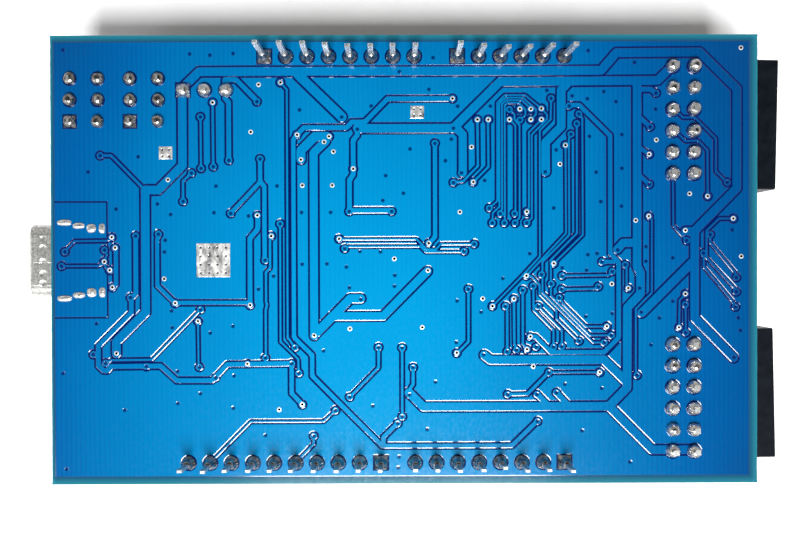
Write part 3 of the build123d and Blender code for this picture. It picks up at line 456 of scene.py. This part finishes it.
def mask_material():
    """Glossy blue solder mask over copper."""
    m, nt, shader = new_material("mask")
    where = nt.nodes.new("ShaderNodeTexCoord").outputs["Object"]
    streaks = copper_streaks(nt, where)
    nt.links.new(mask_color(nt, copper_color_with_painted_light(nt, where, streaks)), shader.inputs["Base Color"])
    small = grain(nt, 0.35, (1, 1.5, 1), detail=4.0).outputs["Fac"]
    nt.links.new(spread(nt, small, 0.10, 0.17).outputs["Result"], shader.inputs["Roughness"])
    waves = bump(nt, streaks, 0.3, 0.0025)
    nt.links.new(bump(nt, small, 0.05, 0.002, under=waves), shader.inputs["Normal"])
    shader.inputs["IOR"].default_value = 1.48
    shader.inputs["Coat Weight"].default_value = 0.25
    shader.inputs["Coat Roughness"].default_value = 0.05
    return m


MASK = mask_material()
TIN = surface("tin", (0.40, 0.41, 0.40), (0.95, 0.95, 0.93), (0.3, 0.5), metallic=0.5, size=0.5, relief=0.5,
              relief_mm=0.02)
# Near black: painted shade inside the via bores and the thermal vias.
HOLE = surface("via_bore_painted_shade", (0.006, 0.008, 0.02), (0.02, 0.02, 0.05), (0.4, 0.6), size=0.2)
EDGE = surface("laminate_edge", (0.02, 0.12, 0.14), (0.05, 0.22, 0.22), (0.4, 0.6), size=0.4,
               stretch=(1, 1, 0.2), relief=0.6, relief_mm=0.03)
SOLDER = surface("solder", (0.30, 0.30, 0.31), (0.78, 0.78, 0.78), (0.14, 0.32), metallic=1.0, size=0.5,
                 relief=0.5, relief_mm=0.03, fine=0.3)
# A brighter copy of the solder: painted light for the joints in the USB shell's slots.
LIT_SOLDER = surface("solder_painted_light", (0.40, 0.40, 0.40), (0.95, 0.95, 0.94), (0.18, 0.38), metallic=0.8,
                        size=0.35, relief=0.8, relief_mm=0.05, fine=0.25)
# A darker copy of the solder: painted shade for the joints of the shield sockets and the switches.
SHADED_SOLDER = surface("solder_painted_shade", (0.10, 0.10, 0.10), (0.46, 0.45, 0.44), (0.16, 0.36), metallic=1.0,
                      size=0.45, relief=0.5, relief_mm=0.03, fine=0.3)
PAD_TIN = surface("pad_tin", (0.10, 0.10, 0.11), (0.92, 0.92, 0.90), (0.22, 0.45), metallic=0.6, size=0.55,
                  stretch=(1, 2.2, 1), relief=0.8, relief_mm=0.05, fine=0.3)
PINS = surface("tinned_pin", (0.44, 0.46, 0.46), (0.66, 0.67, 0.66), (0.25, 0.4), metallic=0.8, size=0.3,
               stretch=(1, 1, 6), relief=0.12, relief_mm=0.005)
SHEET = surface("sheet", (0.30, 0.30, 0.29), (0.62, 0.62, 0.60), (0.22, 0.5), metallic=1.0, size=0.45,
                relief=0.6, relief_mm=0.02, fine=0.16)
SHELL = surface("usb_shell_sheet", (0.34, 0.34, 0.33), (0.74, 0.74, 0.72), (0.2, 0.4), metallic=0.75,
                size=0.3, relief=0.6, relief_mm=0.02, fine=0.1)
GOLD = surface("gold", (0.60, 0.40, 0.12), (0.90, 0.68, 0.30), (0.2, 0.35), metallic=1.0, size=0.2)
BLACK = surface("black_moulding", (0.001, 0.002, 0.004), (0.004, 0.006, 0.01), (0.35, 0.5), size=1.2,
                relief_mm=0.008, fine=0.15, shine=0.12)
CHIP = surface("chip_moulding", (0.012, 0.012, 0.013), (0.03, 0.03, 0.032), (0.5, 0.75), size=2.0, relief=0.6)
FERRITE = surface("ferrite", (0.05, 0.05, 0.05), (0.11, 0.105, 0.10), (0.55, 0.8), size=0.8, relief=0.6,
                  relief_mm=0.02)
CASE = surface("capacitor_case", (0.42, 0.25, 0.04), (0.66, 0.44, 0.10), (0.35, 0.5), size=1.0)
CERAMIC = surface("ceramic", (0.30, 0.19, 0.10), (0.46, 0.33, 0.20), (0.35, 0.55), size=0.5)
LAMP = surface("lamp", (0.62, 0.66, 0.56), (0.85, 0.88, 0.78), (0.15, 0.3), size=0.5, relief=0.15, coat=0.5)
UNDER = surface("mask_under", (0.0, 0.07, 0.28), (0.0, 0.12, 0.42), (0.15, 0.3), size=6.0, relief=0.15,
                coat=0.5)
TABLE = surface("table", (0.90, 0.90, 0.91), (0.95, 0.95, 0.96), (0.5, 0.7), size=8.0, relief=0.1)


# ---- geometry helpers ----
def build(name, verts, faces, materials, body="board", smooth=True):
    """A mesh piece from points in millimetres, riding on a body."""
    mesh = bpy.data.meshes.new(name)
    mesh.from_pydata([(x * MM, y * MM, z * MM) for x, y, z in verts], [], faces)
    obj = bpy.data.objects.new(name, mesh)
    bpy.context.scene.collection.objects.link(obj)
    for m in materials:
        mesh.materials.append(m)
    mesh.polygons.foreach_set("use_smooth", [smooth] * len(mesh.polygons))
    mesh.update()
    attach(obj, body)
    return obj


def circle(x, y, r, count):
    angles = [2 * math.pi * i / count for i in range(count)]
    return [(x + r * math.cos(angle), y + r * math.sin(angle)) for angle in angles]


def stadium(a, b, r, steps):
    """Outline of everything within r of the segment from a to b."""
    along = math.atan2(b[1] - a[1], b[0] - a[0])
    out = []
    for end, start in ((b, along - math.pi / 2), (a, along + math.pi / 2)):
        for i in range(steps + 1):
            angle = start + math.pi * i / steps
            out.append((end[0] + r * math.cos(angle), end[1] + r * math.sin(angle)))
    return out


def rectangle(x, y, w, d):
    return [(x - w / 2, y - d / 2), (x + w / 2, y - d / 2), (x + w / 2, y + d / 2), (x - w / 2, y + d / 2)]


def to_point(p, x, y):
    """Distance from each point to one place."""
    return np.hypot(p[:, 0] - x, p[:, 1] - y)


def to_segment(p, a, b):
    """Distance from each point to a segment."""
    a, b = np.array(a), np.array(b)
    run = b - a
    t = np.clip(((p - a) @ run) / max(run @ run, 1e-12), 0, 1)
    return np.hypot(*(p - (a + t[:, None] * run)).T)


def to_box(p, x, y, w, d):
    """Signed distance from each point to a rectangle's outline."""
    q = np.abs(p - np.array([x, y])) - np.array([w / 2, d / 2])
    return np.hypot(*np.maximum(q, 0).T) + np.minimum(q.max(axis=1), 0)


def inside_outline(p, outline):
    """Which points lie inside a closed outline, by counting the sides to their right."""
    inside = np.zeros(len(p), dtype=bool)
    for (ax, ay), (bx, by) in zip(outline, outline[1:] + outline[:1]):
        if ay == by:
            continue
        crosses = (ay > p[:, 1]) != (by > p[:, 1])
        inside ^= crosses & (p[:, 0] < ax + (p[:, 1] - ay) * (bx - ax) / (by - ay))
    return inside


def ring_faces(base, rings, count):
    """Sides between rings of count points each, from point number base, and a cap at either end."""
    faces = []
    for k in range(rings - 1):
        lower, upper = base + k * count, base + (k + 1) * count
        for i in range(count):
            j = (i + 1) % count
            faces.append([lower + i, lower + j, upper + j, upper + i])
    faces.append([base + i for i in reversed(range(count))])
    faces.append([base + (rings - 1) * count + i for i in range(count)])
    return faces


# ---- the board: laminate, mask relief, via bores ----
def pad_radius(pin):
    if pin in SWITCH_PINS:
        return SWITCH_PAD_R
    return EDGE_PAD_R if pin in EDGE_PINS + JUMPER_PINS else PAD_R


def pad_groove(low, own, d):
    """Deepens the groove around a pad, given each point's distance from the pad, except on tracks."""
    near = (d > -0.1) & (d < PAD_CLEAR) & (own > 0)
    return np.where(near, np.maximum(low, np.clip((PAD_CLEAR - d) / WALL, 0, 1)), low)


def relief_fields(p):
    """How low the mask lies at each point, 0 on copper to 1 in a groove, and how bare the board is there."""
    own = np.full(len(p), 1e3)
    for a, b, half in SEGMENTS:
        own = np.minimum(own, to_segment(p, a, b) - half)
    for x, y in OPEN_VIAS + COVERED_VIAS:
        own = np.minimum(own, to_point(p, x, y) - VIA_R)
    low = np.clip((np.minimum(own, CLEARANCE - own) - SLACK) / (WALL - SLACK), 0, 1)
    for a, b in CUT_SEGMENTS:
        cut = np.clip((CUT_W / 2 - to_segment(p, a, b)) / WALL, 0, 1)
        low = np.maximum(low, np.where(own <= 0, 0, cut))
    for x, y in ROUND_PADS:
        if (x, y) not in SOLID_PADS:
            low = pad_groove(low, own, to_point(p, x, y) - pad_radius((x, y)))
    for x, y in SQUARES:
        side = 2 * pad_radius((x, y))
        low = pad_groove(low, own, to_box(p, x, y, side, side))
    past_pour = to_box(p, *POUR)
    off_copper = np.clip(past_pour / WALL, 0, 1)
    return np.maximum(low, off_copper), np.clip((past_pour - 0.05) / 0.3, 0, 1)


def board_outline():
    """The board's edge, with the marks that the router left along it."""
    half_w, half_d = BOARD_W / 2, BOARD_D / 2
    corners = [(-half_w, -half_d), (half_w, -half_d), (half_w, half_d), (-half_w, half_d)]
    inward = [(0, 1), (-1, 0), (0, -1), (1, 0)]
    outline = []
    for n, (a, b) in enumerate(zip(corners, corners[1:] + corners[:1])):
        count, depth = ROUTER_MARKS[n % 2]
        for i in range(count):
            t = i / count
            x, y = a[0] + (b[0] - a[0]) * t, a[1] + (b[1] - a[1]) * t
            mark = depth * (0.5 + 0.5 * noise.noise(Vector((x * 2.1, y * 2.1, 3.3)))) if i else 0
            outline.append((x + inward[n][0] * mark, y + inward[n][1] * mark))
    return outline


def thermal_vias(x, y, w, d, count):
    """Places of the vias in a tinned pad."""
    across = [i - (count - 1) / 2 for i in range(count)]
    return [(x + i * w / count, y + j * d / count) for i in across for j in across]


def track_loops():
    """Outlines of the tracks, cuts and vias, and of the grooves around them."""
    loops = []
    for a, b, half in SEGMENTS:
        steps = 4 if half < 0.15 else 6
        for r in (half, half + WALL, half + CLEARANCE - WALL, half + CLEARANCE):
            loops.append(stadium(a, b, r, steps))
    for a, b in CUT_SEGMENTS:
        for r in (CUT_W / 2 - WALL, CUT_W / 2):
            loops.append(stadium(a, b, r, 3))
    for x, y in OPEN_VIAS + COVERED_VIAS:
        for r in (VIA_R, VIA_R + WALL, VIA_R + CLEARANCE - WALL, VIA_R + CLEARANCE):
            loops.append(circle(x, y, r, VIA_SIDES))
    for x, y in OPEN_VIAS + FREE_VIAS:
        loops += [circle(x, y, RING_R, VIA_SIDES), circle(x, y, HOLE_R, HOLE_SIDES)]
        loops.append(circle(x, y, HOLE_R * 0.8, 8))
    for x, y in COVERED_VIAS + STITCHES:
        loops += [circle(x, y, DIMPLE_R, 8), circle(x, y, DIMPLE_EDGE, 12), [(x, y)]]
    return loops


def pad_loops():
    """Outlines of the pads and of the grooves around them."""
    loops = []
    grows = (-PAD_OVERLAP, PAD_CLEAR - WALL, PAD_CLEAR)
    for x, y in ROUND_PADS:
        if (x, y) not in SOLID_PADS:
            loops += [circle(x, y, pad_radius((x, y)) + grow, PAD_SIDES) for grow in grows]
    for x, y in SQUARES:
        for grow in grows:
            r = pad_radius((x, y)) + grow
            loops.append(rectangle(x, y, 2 * r, 2 * r))
    for x, y, w, d, count in THERMAL_PADS:
        loops += [rectangle(x, y, w, d), rectangle(x, y, w - 2 * THERMAL_BEVEL, d - 2 * THERMAL_BEVEL)]
        for vx, vy in thermal_vias(x, y, w, d, count):
            loops += [circle(vx, vy, THERMAL_VIA_R, 8), circle(vx, vy, THERMAL_RING_R, 10)]
    return loops


def triangulate(loops):
    """Triangles over the drawing, with every outline kept as edges; a loop of one point is only a point."""
    points, edges = [], []
    for loop in loops:
        start, count = len(points), len(loop)
        points.extend(loop)
        if count > 1:
            edges.extend((start + i, start + (i + 1) % count) for i in range(count))
    coords, _, faces, _, _, _ = geometry.delaunay_2d_cdt([Vector(p) for p in points], edges, [], 0, 1e-5)
    return np.array([(c.x, c.y) for c in coords]), np.array([list(face) for face in faces])


MASK_KIND, RING_KIND, BORE_KIND, WALL_KIND, PAD_KIND = range(5)


def raise_relief(flat, middle):
    """Height, shade and bareness of each point, and the kind of each face."""
    low, bare = relief_fields(flat)
    height = SOLDER_Z - FACE_SINK - GROOVE * low
    shade = low.copy()
    for x, y in COVERED_VIAS + STITCHES:
        dip = np.clip((DIMPLE_EDGE - to_point(flat, x, y)) / (DIMPLE_EDGE - DIMPLE_R), 0, 1)
        height -= DIMPLE_DEPTH * dip
        shade = np.maximum(shade, DIMPLE_SHADE * dip)
    kind = np.full(len(middle), MASK_KIND)
    for x, y in OPEN_VIAS + FREE_VIAS:
        d = to_point(flat, x, y)
        ring = SOLDER_Z - RING_SINK + RING_SWELL * np.sin(np.clip(d / RING_R, 0, 1) * math.pi)
        height = np.where(d < RING_R + 0.001, ring, height)
        height = np.where(d < HOLE_R * 0.9, SOLDER_Z - BORE_DEPTH, height)
        from_middle = to_point(middle, x, y)
        kind = np.where(from_middle < RING_R * 0.985, RING_KIND, kind)
        # Faces inside the bore take the near-black painted shade.
        kind = np.where(from_middle < HOLE_R * 0.97, BORE_KIND, kind)
    for x, y, w, d, count in THERMAL_PADS:
        height = np.where(to_box(flat, x, y, w, d) < -0.03, SOLDER_Z + THERMAL_PROUD, height)
        kind = np.where(to_box(middle, x, y, w, d) < 0, PAD_KIND, kind)
        for vx, vy in thermal_vias(x, y, w, d, count):
            height -= THERMAL_VIA_DEPTH * np.clip((0.2 - to_point(flat, vx, vy)) / 0.1, 0, 1)
            # The thermal vias' dimples take the same painted shade.
            kind = np.where(to_point(middle, vx, vy) < 0.15, BORE_KIND, kind)
    return height, shade, bare, kind


def edge_ring(flat, rim, z):
    """The board's edge at one height, a little uneven."""
    ring = []
    for i, v in enumerate(rim):
        wobble = abs(0.02 * noise.noise(Vector((i * 0.7, z * 3, 1.7))))
        x, y = flat[v]
        ring.append((x * (1 - wobble / (BOARD_W / 2)), y * (1 - wobble / (BOARD_D / 2)), z))
    return ring


def make_board():
    outline = board_outline()
    x, y, w, d = POUR
    edge_loops = [outline, rectangle(x, y, w, d), rectangle(x, y, w + 2 * WALL, d + 2 * WALL)]
    flat, faces = triangulate(edge_loops + track_loops() + pad_loops())
    middle = flat[faces].mean(axis=1)
    height, shade, bare, kind = raise_relief(flat, middle)
    keep = inside_outline(middle, outline)
    faces, kinds = faces[keep], list(kind[keep])
    used = np.unique(faces)
    index = {int(v): i for i, v in enumerate(used)}
    verts = [(flat[v, 0], flat[v, 1], height[v]) for v in used]
    lows, bares = [float(shade[v]) for v in used], [float(bare[v]) for v in used]
    sides = [[index[int(v)] for v in face] for face in faces]
    rim = [int(np.argmin(to_point(flat, *corner))) for corner in outline]
    count, base = len(rim), len(verts)
    for z in (SOLDER_Z - 0.2, COMPONENT_Z + 0.05):
        verts += edge_ring(flat, rim, z)
    lows += [1.0] * (2 * count)
    bares += [1.0] * (2 * count)
    rings = [[index[v] for v in rim]] + [list(range(start, start + count)) for start in (base, base + count)]
    for upper, lower in zip(rings, rings[1:]):
        for i in range(count):
            j = (i + 1) % count
            sides.append([upper[i], lower[i], lower[j], upper[j]])
    sides.append(rings[-1][::-1])
    kinds += [WALL_KIND] * (2 * count + 1)
    obj = build("board", verts, sides, [MASK, TIN, HOLE, EDGE, PAD_TIN], smooth=False)
    obj.data.polygons.foreach_set("material_index", kinds)
    for label, values in (("low", lows), ("bare", bares)):
        obj.data.attributes.new(label, "FLOAT", "POINT").data.foreach_set("value", values)
    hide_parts("solder_side_mask", "board_laminate", "tinned_pads")


# ---- tails and solder joints ----
FOOT_Z = COMPONENT_Z + 0.02  # where the fill of each hole begins
PAD_Z = SOLDER_Z - 0.04  # where each joint spreads over its pad
FILL_R = 0.48
TAIL_HALF, TIP_HALF, TIP = (0.3, 0.2), (0.2, 0.12), 0.15  # half section of a tail and of its tip, its taper
# How each tail leans: its tip's shift along X and Y, in millimetres.
POWER_TIPS = [(0.05, 0.05), (0.0, 0.06), (0.03, 0.05), (-0.02, 0.0), (-0.06, 0.28), (0.0, 0.3), (-0.1, 0.36),
              (-0.3, 0.42)]
ANALOG_TIPS = [(0.45, 0.15), (0.4, 0.1), (0.4, 0.0), (0.5, -0.05), (0.22, 0.1), (0.1, 0.3)]
LOW_TIPS = [(0.25, -0.1), (0.1, 0.0), (0.12, -0.05), (0.18, 0.2), (0.2, 0.0), (0.02, -0.05), (-0.02, 0.0),
            (-0.02, 0.02)]
HIGH_TIPS = [(-0.02, 0.0), (0.0, 0.0), (0.02, -0.05), (-0.06, -0.03), (-0.14, 0.0), (0.0, 0.02), (0.08, 0.02),
             (-0.08, 0.0), (0.0, -0.08), (-0.12, 0.0)]
# Each row: its pins, how their tips lean and how far each tail stands out.
ROWS = {
    "power": (POWER, POWER_TIPS, [4.3, 4.2, 4.1, 4.2, 3.9, 4.3, 4.3, 4.3]),
    "analog": (ANALOG, ANALOG_TIPS, [4.2, 4.0, 3.9, 3.9, 4.0, 4.25]),
    "digital_low": (DIGITAL_LOW, LOW_TIPS, [3.4, 3.3, 3.35, 3.0, 3.3, 3.35, 3.3, 3.3]),
    "digital_high": (DIGITAL_HIGH, HIGH_TIPS, [3.35, 3.3, 3.35, 3.3, 3.3, 3.3, 3.35, 3.3, 3.4, 3.35]),
}


def lathe(verts, faces, x, y, rings, lean, rough, seed, sides=32):
    """Adds a solid through rings of (radius, height), leaning towards the top and square on a square pad."""
    base = len(verts)
    foot, top = rings[0][1], rings[-1][1]
    widest = max(r for r, _ in rings)
    for r, z in rings:
        t = (z - foot) / (top - foot)
        for i in range(sides):
            angle = 2 * math.pi * i / sides
            c, s = math.cos(angle), math.sin(angle)
            reach = r * (1 + rough * noise.noise(Vector((c * 1.3 + seed, s * 1.3, z * 1.7 + seed))))
            if (x, y) in SQUARES and r > widest - 0.01:
                reach = r / max(abs(c), abs(s))
            verts.append((x + reach * c + lean[0] * t * t, y + reach * s + lean[1] * t * t, z))
    faces.extend(ring_faces(base, len(rings), sides))


def bar(verts, faces, sections):
    """Adds a bar through (x, y, z, half width, half depth) sections, closed at both ends."""
    base = len(verts)
    for x, y, z, w, d in sections:
        verts.extend([(x - w, y - d, z), (x + w, y - d, z), (x + w, y + d, z), (x - w, y + d, z)])
    faces.extend(ring_faces(base, len(sections), 4))


def foot_rings(pad):
    """The fill of the hole and the rim on the pad."""
    return [(FILL_R, FOOT_Z), (FILL_R, PAD_Z - 0.01), (pad, PAD_Z), (pad, PAD_Z + 0.05)]


def joint_rings(height, neck, pad):
    """Section of a joint with a fillet up the tail."""
    rings = foot_rings(pad)
    for t in (0.12, 0.25, 0.4, 0.55, 0.7, 0.85, 1.0):
        r = neck + (pad - 0.04 - neck) * (1 - t) ** 1.7
        rings.append((r, PAD_Z + 0.05 + height * t ** 0.9))
    rings.append((neck * 0.55, PAD_Z + 0.06 + height))
    return rings


def dome_rings(height, pad):
    """Section of a full joint whose solder stands up over a short tail."""
    rings = foot_rings(pad)
    for t in (0.15, 0.3, 0.45, 0.6, 0.75, 0.9, 1.0):
        rings.append((pad * (1 - t ** 1.6) * 0.96 + 0.2 * t, PAD_Z + 0.05 + height * (1 - (1 - t) ** 1.5)))
    return rings


def add_contact(verts, faces, x, y):
    """The forked end of a contact inside its socket."""
    bar(verts, faces, [(x, y, CONTACT_TOP - 0.6, 0.35, 0.48), (x, y, CONTACT_TOP - 0.02, 0.35, 0.48)])
    for side in (-1, 1):
        mouth, pinch = y + side * 0.42, y + side * 0.36
        bar(verts, faces, [
            (x, mouth, 2.0, 0.35, 0.05),
            (x, pinch, 2.8, 0.3, 0.05),
            (x, mouth, CONTACT_TOP - 0.55, 0.35, 0.06),
        ])


def add_tail(verts, faces, x, y, dx, dy, tall):
    """The flat tail of a contact, bent towards (dx, dy) at its tip."""
    top = SOLDER_Z + tall
    steps = [(x, y, CONTACT_TOP - 0.1, *TAIL_HALF), (x, y, SOLDER_Z + 0.1, *TAIL_HALF)]
    for t in (0.4, 0.75):
        steps.append((x + dx * t * 0.8, y + dy * t * 0.8, SOLDER_Z + (tall - TIP) * t, *TAIL_HALF))
    steps.append((x + dx * 0.96, y + dy * 0.96, top - TIP, *TAIL_HALF))
    steps.append((x + dx, y + dy, top, *TIP_HALF))
    bar(verts, faces, steps)


def make_row(name, joint_verts, joint_faces):
    """The contacts of one shield socket, whose joints are added to those of its side."""
    verts, faces = [], []
    for (x, y), (dx, dy), tall in zip(*ROWS[name]):
        add_contact(verts, faces, x, y)
        add_tail(verts, faces, x, y, dx, dy, tall)
        neck = random.uniform(0.36, 0.42)
        grown = random.uniform(0.95, 1.25)
        rings, lean = joint_rings(grown, neck, PAD_R), (dx * 0.25, dy * 0.25)
        lathe(joint_verts, joint_faces, x, y, rings, lean, rough=0.1, seed=random.uniform(0, 40))
    piece = build(name + "_tails", verts, faces, [PINS], smooth=False)
    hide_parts(name + "_contacts")


def make_rows():
    """The contacts of every shield socket, then the joints along each long edge."""
    joints = {"power": ([], []), "digital": ([], [])}
    for name in ROWS:
        make_row(name, *joints["digital" if name.startswith("digital") else "power"])
    for side, (verts, faces) in joints.items():
        piece = build(side + "_joints", verts, faces, [SHADED_SOLDER])
        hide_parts(side + "_row_solder_joints")


def make_domes(name, pins, pad, low, high, material):
    """Full joints between low and high millimetres tall."""
    verts, faces = [], []
    for x, y in pins:
        tall = random.uniform(low, high)
        lean = (random.uniform(-0.06, 0.06), random.uniform(-0.06, 0.06))
        lathe(verts, faces, x, y, dome_rings(tall, pad), lean, rough=0.14, seed=random.uniform(0, 40))
    piece = build(name, verts, faces, [material])
    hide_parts(name.replace("_joints", "_solder_joints"))


def rounded(value, power=0.75):
    """A sine or cosine drawn out, for an oval with blunter ends."""
    return math.copysign(abs(value) ** power, value)


# Section of the solder in a slot: (scale, height).
SLOT_RINGS = [
    (0.6, FOOT_Z),
    (0.6, SOLDER_Z - 0.05),
    (1.0, SOLDER_Z - 0.03),
    (1.0, SOLDER_Z + 0.03),
    (0.85, SOLDER_Z + 0.13),
    (0.55, SOLDER_Z + 0.2),
    (0.2, SOLDER_Z + 0.23),
]


def make_usb_joints(count=28):
    """Solder in the slots that hold the USB shell."""
    verts, faces = [], []
    for inset, across, long, wide in USB_SLOTS:
        for side in (-1, 1):
            x, y = -BOARD_W / 2 + inset, side * across
            base = len(verts)
            for scale, z in SLOT_RINGS:
                for i in range(count):
                    angle = 2 * math.pi * i / count
                    c, s = math.cos(angle), math.sin(angle)
                    reach = scale * (1 + 0.08 * noise.noise(Vector((c + x, s + y, z * 4))))
                    verts.append((x + long / 2 * reach * rounded(c), y + wide / 2 * reach * rounded(s), z))
            faces += ring_faces(base, len(SLOT_RINGS), count)
    piece = build("usb_joints", verts, faces, [LIT_SOLDER])
    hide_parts("usb_solder_joints")


# ---- the face of the USB shell that shows past the board, with its pressed dimples and seam ----
FACE_HALF, FACE_LONG, FACE_INSET = 3.15, 3.5, 0.06  # half its width, its length and its setback
FACE_LIFT, FACE_STEP = 0.14, 0.05  # its height and the mesh's step
SHELL_DIMPLES = [(1.63, y) for y in (2.7, 1.52, -0.12, -1.6, -2.78)]
SHELL_DIMPLE_R, SHELL_DIMPLE_DEPTH = 0.43, 0.125
SHELL_SEAM = [((0.48, 3.1), (0.48, -0.3)), ((0.48, -0.3), (2.9, -0.3))]
SEAM_HALF, SEAM_DEPTH = 0.08, 0.1


def shell_heights(grid):
    """Height of the shell's face over its foot at each point of a grid."""
    top = np.full(len(grid), FACE_LIFT)
    for x, y in SHELL_DIMPLES:
        bowl = np.clip(1 - (to_point(grid, x, y) / SHELL_DIMPLE_R) ** 2, 0, 1)
        top -= SHELL_DIMPLE_DEPTH * np.sqrt(bowl)
    for a, b in SHELL_SEAM:
        top -= SEAM_DEPTH * np.clip(1 - to_segment(grid, a, b) / SEAM_HALF, 0, 1)
    edge = np.minimum(grid[:, 0] - FACE_INSET, FACE_HALF - np.abs(grid[:, 1]))
    return np.clip(top, 0.008, None) * np.clip(0.25 + edge / 0.25, 0, 1)


def make_shell_face():
    columns, rows = int(FACE_LONG / FACE_STEP) + 1, int(2 * FACE_HALF / FACE_STEP) + 1
    xs = np.linspace(FACE_INSET, FACE_LONG, columns)
    ys = np.linspace(-FACE_HALF, FACE_HALF, rows)
    grid = np.array([(x, y) for y in ys for x in xs])
    verts = [(SHELL_FRONT + x, y, COMPONENT_Z - 0.01 + h) for (x, y), h in zip(grid, shell_heights(grid))]
    verts += [(SHELL_FRONT + x, y, COMPONENT_Z - 0.05) for x, y in grid]
    faces, half = [], len(grid)
    for j in range(rows - 1):
        for i in range(columns - 1):
            a = j * columns + i
            faces.append([a, a + 1, a + columns + 1, a + columns])
            faces.append([half + a, half + a + columns, half + a + columns + 1, half + a + 1])
    rim = [(j * columns, (j + 1) * columns) for j in range(rows - 1)]
    rim += [((rows - 1) * columns + i, (rows - 1) * columns + i + 1) for i in range(columns - 1)]
    rim += [((j + 1) * columns - 1 + columns, (j + 1) * columns - 1) for j in range(rows - 1)]
    rim += [(i + 1, i) for i in range(columns - 1)]
    faces += [[a, b, half + b, half + a] for a, b in rim]
    build("usb_shell_face", verts, faces, [SHELL])


# ---- materials on the CAD nodes that stay ----
FINISHES = [
    (UNDER, ["component_side_mask"]),
    (BLACK, ["upper_edge_socket", "lower_edge_socket", "jumper_base", "shunt_housing", "usb_insert",
             "switch_bases", "switch_a_slider", "switch_b_slider", "reset_button_body",
             "reset_button_plunger", "power_socket", "analog_socket", "digital_low_socket",
             "digital_high_socket"]),
    (PINS, ["upper_edge_contacts", "lower_edge_contacts", "switch_terminals", "jumper_pins",
            "reset_button_terminals", "controller_leads", "memory_leads", "flash_leads"]),
    (GOLD, ["shunt_clips", "usb_contacts"]),
    (SHELL, ["usb_shell"]),
    (SHEET, ["switch_a_cover", "switch_b_cover", "reset_button_cover", "oscillator_cans"]),
    (CHIP, ["controller_chip", "memory_chip", "flash_chip", "usb_bridge_chip", "regulator_chips",
            "resistors"]),
    (FERRITE, ["inductors"]),
    (CASE, ["bulk_capacitors"]),
    (CERAMIC, ["ceramic_capacitors"]),
    (LAMP, ["status_lamps"]),
    (TIN, ["chip_end_caps"]),
]


def set_finishes():
    for finish, names in FINISHES:
        for name in names:
            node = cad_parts[name]
            node.data.materials.clear()
            node.data.materials.append(finish)


# ---- table, light and camera ----
def make_table():
    bpy.ops.mesh.primitive_plane_add(size=3, location=(0, 0, -0.05 * MM))
    floor = bpy.context.object
    floor.name = "floor"
    floor.data.materials.append(TABLE)


def area_light(name, place, size, power):
    """A rectangular light aimed at the board."""
    light = bpy.data.lights.new(name, "AREA")
    light.shape = "RECTANGLE"
    light.size, light.size_y = size
    light.energy = power
    lamp = bpy.data.objects.new(name, light)
    bpy.context.scene.collection.objects.link(lamp)
    lamp.location = place
    lamp.rotation_euler = (Vector((0, 0, 0.01)) - Vector(place)).to_track_quat("-Z", "Y").to_euler()


def make_sky():
    """A room that is lighter at the sides than overhead."""
    world = bpy.data.worlds.new("room")
    bpy.context.scene.world = world
    world.use_nodes = True
    tree = world.node_tree
    sky = tree.nodes["Background"]
    sky.inputs["Color"].default_value = (1.0, 0.965, 0.90, 1)
    heading = tree.nodes.new("ShaderNodeTexCoord")
    parts = tree.nodes.new("ShaderNodeSeparateXYZ")
    tree.links.new(heading.outputs["Generated"], parts.inputs["Vector"])
    dim = add(tree, "ShaderNodeMapRange", From_Min=0.55, From_Max=0.88, To_Min=0.58, To_Max=0.012)
    tree.links.new(parts.outputs["Z"], dim.inputs["Value"])
    tree.links.new(dim.outputs["Result"], sky.inputs["Strength"])


def make_camera(place=(-0.64, -0.41, SOLDER_Z + 80.0), tilt=(0.37, 0.08, 0.15)):
    """Looks straight down from a place in millimetres, but for the photograph's small tilts in degrees."""
    data = bpy.data.cameras.new("camera")
    data.lens = 30.3
    data.clip_start = 0.002
    camera = bpy.data.objects.new("camera", data)
    bpy.context.scene.collection.objects.link(camera)
    turn = Matrix.Identity(4)
    for angle, axis in zip(tilt, "XYZ"):
        turn = turn @ Matrix.Rotation(math.radians(angle), 4, axis)
    camera.matrix_world = Matrix.Translation(Vector(place) * MM) @ turn.inverted()
    bpy.context.scene.camera = camera


make_board()
make_rows()
make_domes("edge_joints", EDGE_PINS, EDGE_PAD_R, 0.75, 1.0, SOLDER)
make_domes("switch_joints", SWITCH_PINS, SWITCH_PAD_R, 0.5, 0.75, SHADED_SOLDER)
make_domes("jumper_joints", JUMPER_PINS, EDGE_PAD_R, 0.6, 0.85, SOLDER)
make_usb_joints()
make_shell_face()
set_finishes()
make_table()
area_light("key", (0.0, -0.42, 0.60), (0.34, 0.34), 11.0)
area_light("left", (-0.45, -0.25, 0.35), (0.2, 0.3), 0.5)
make_sky()
make_camera()
bpy.context.scene.view_settings.view_transform = "Standard"
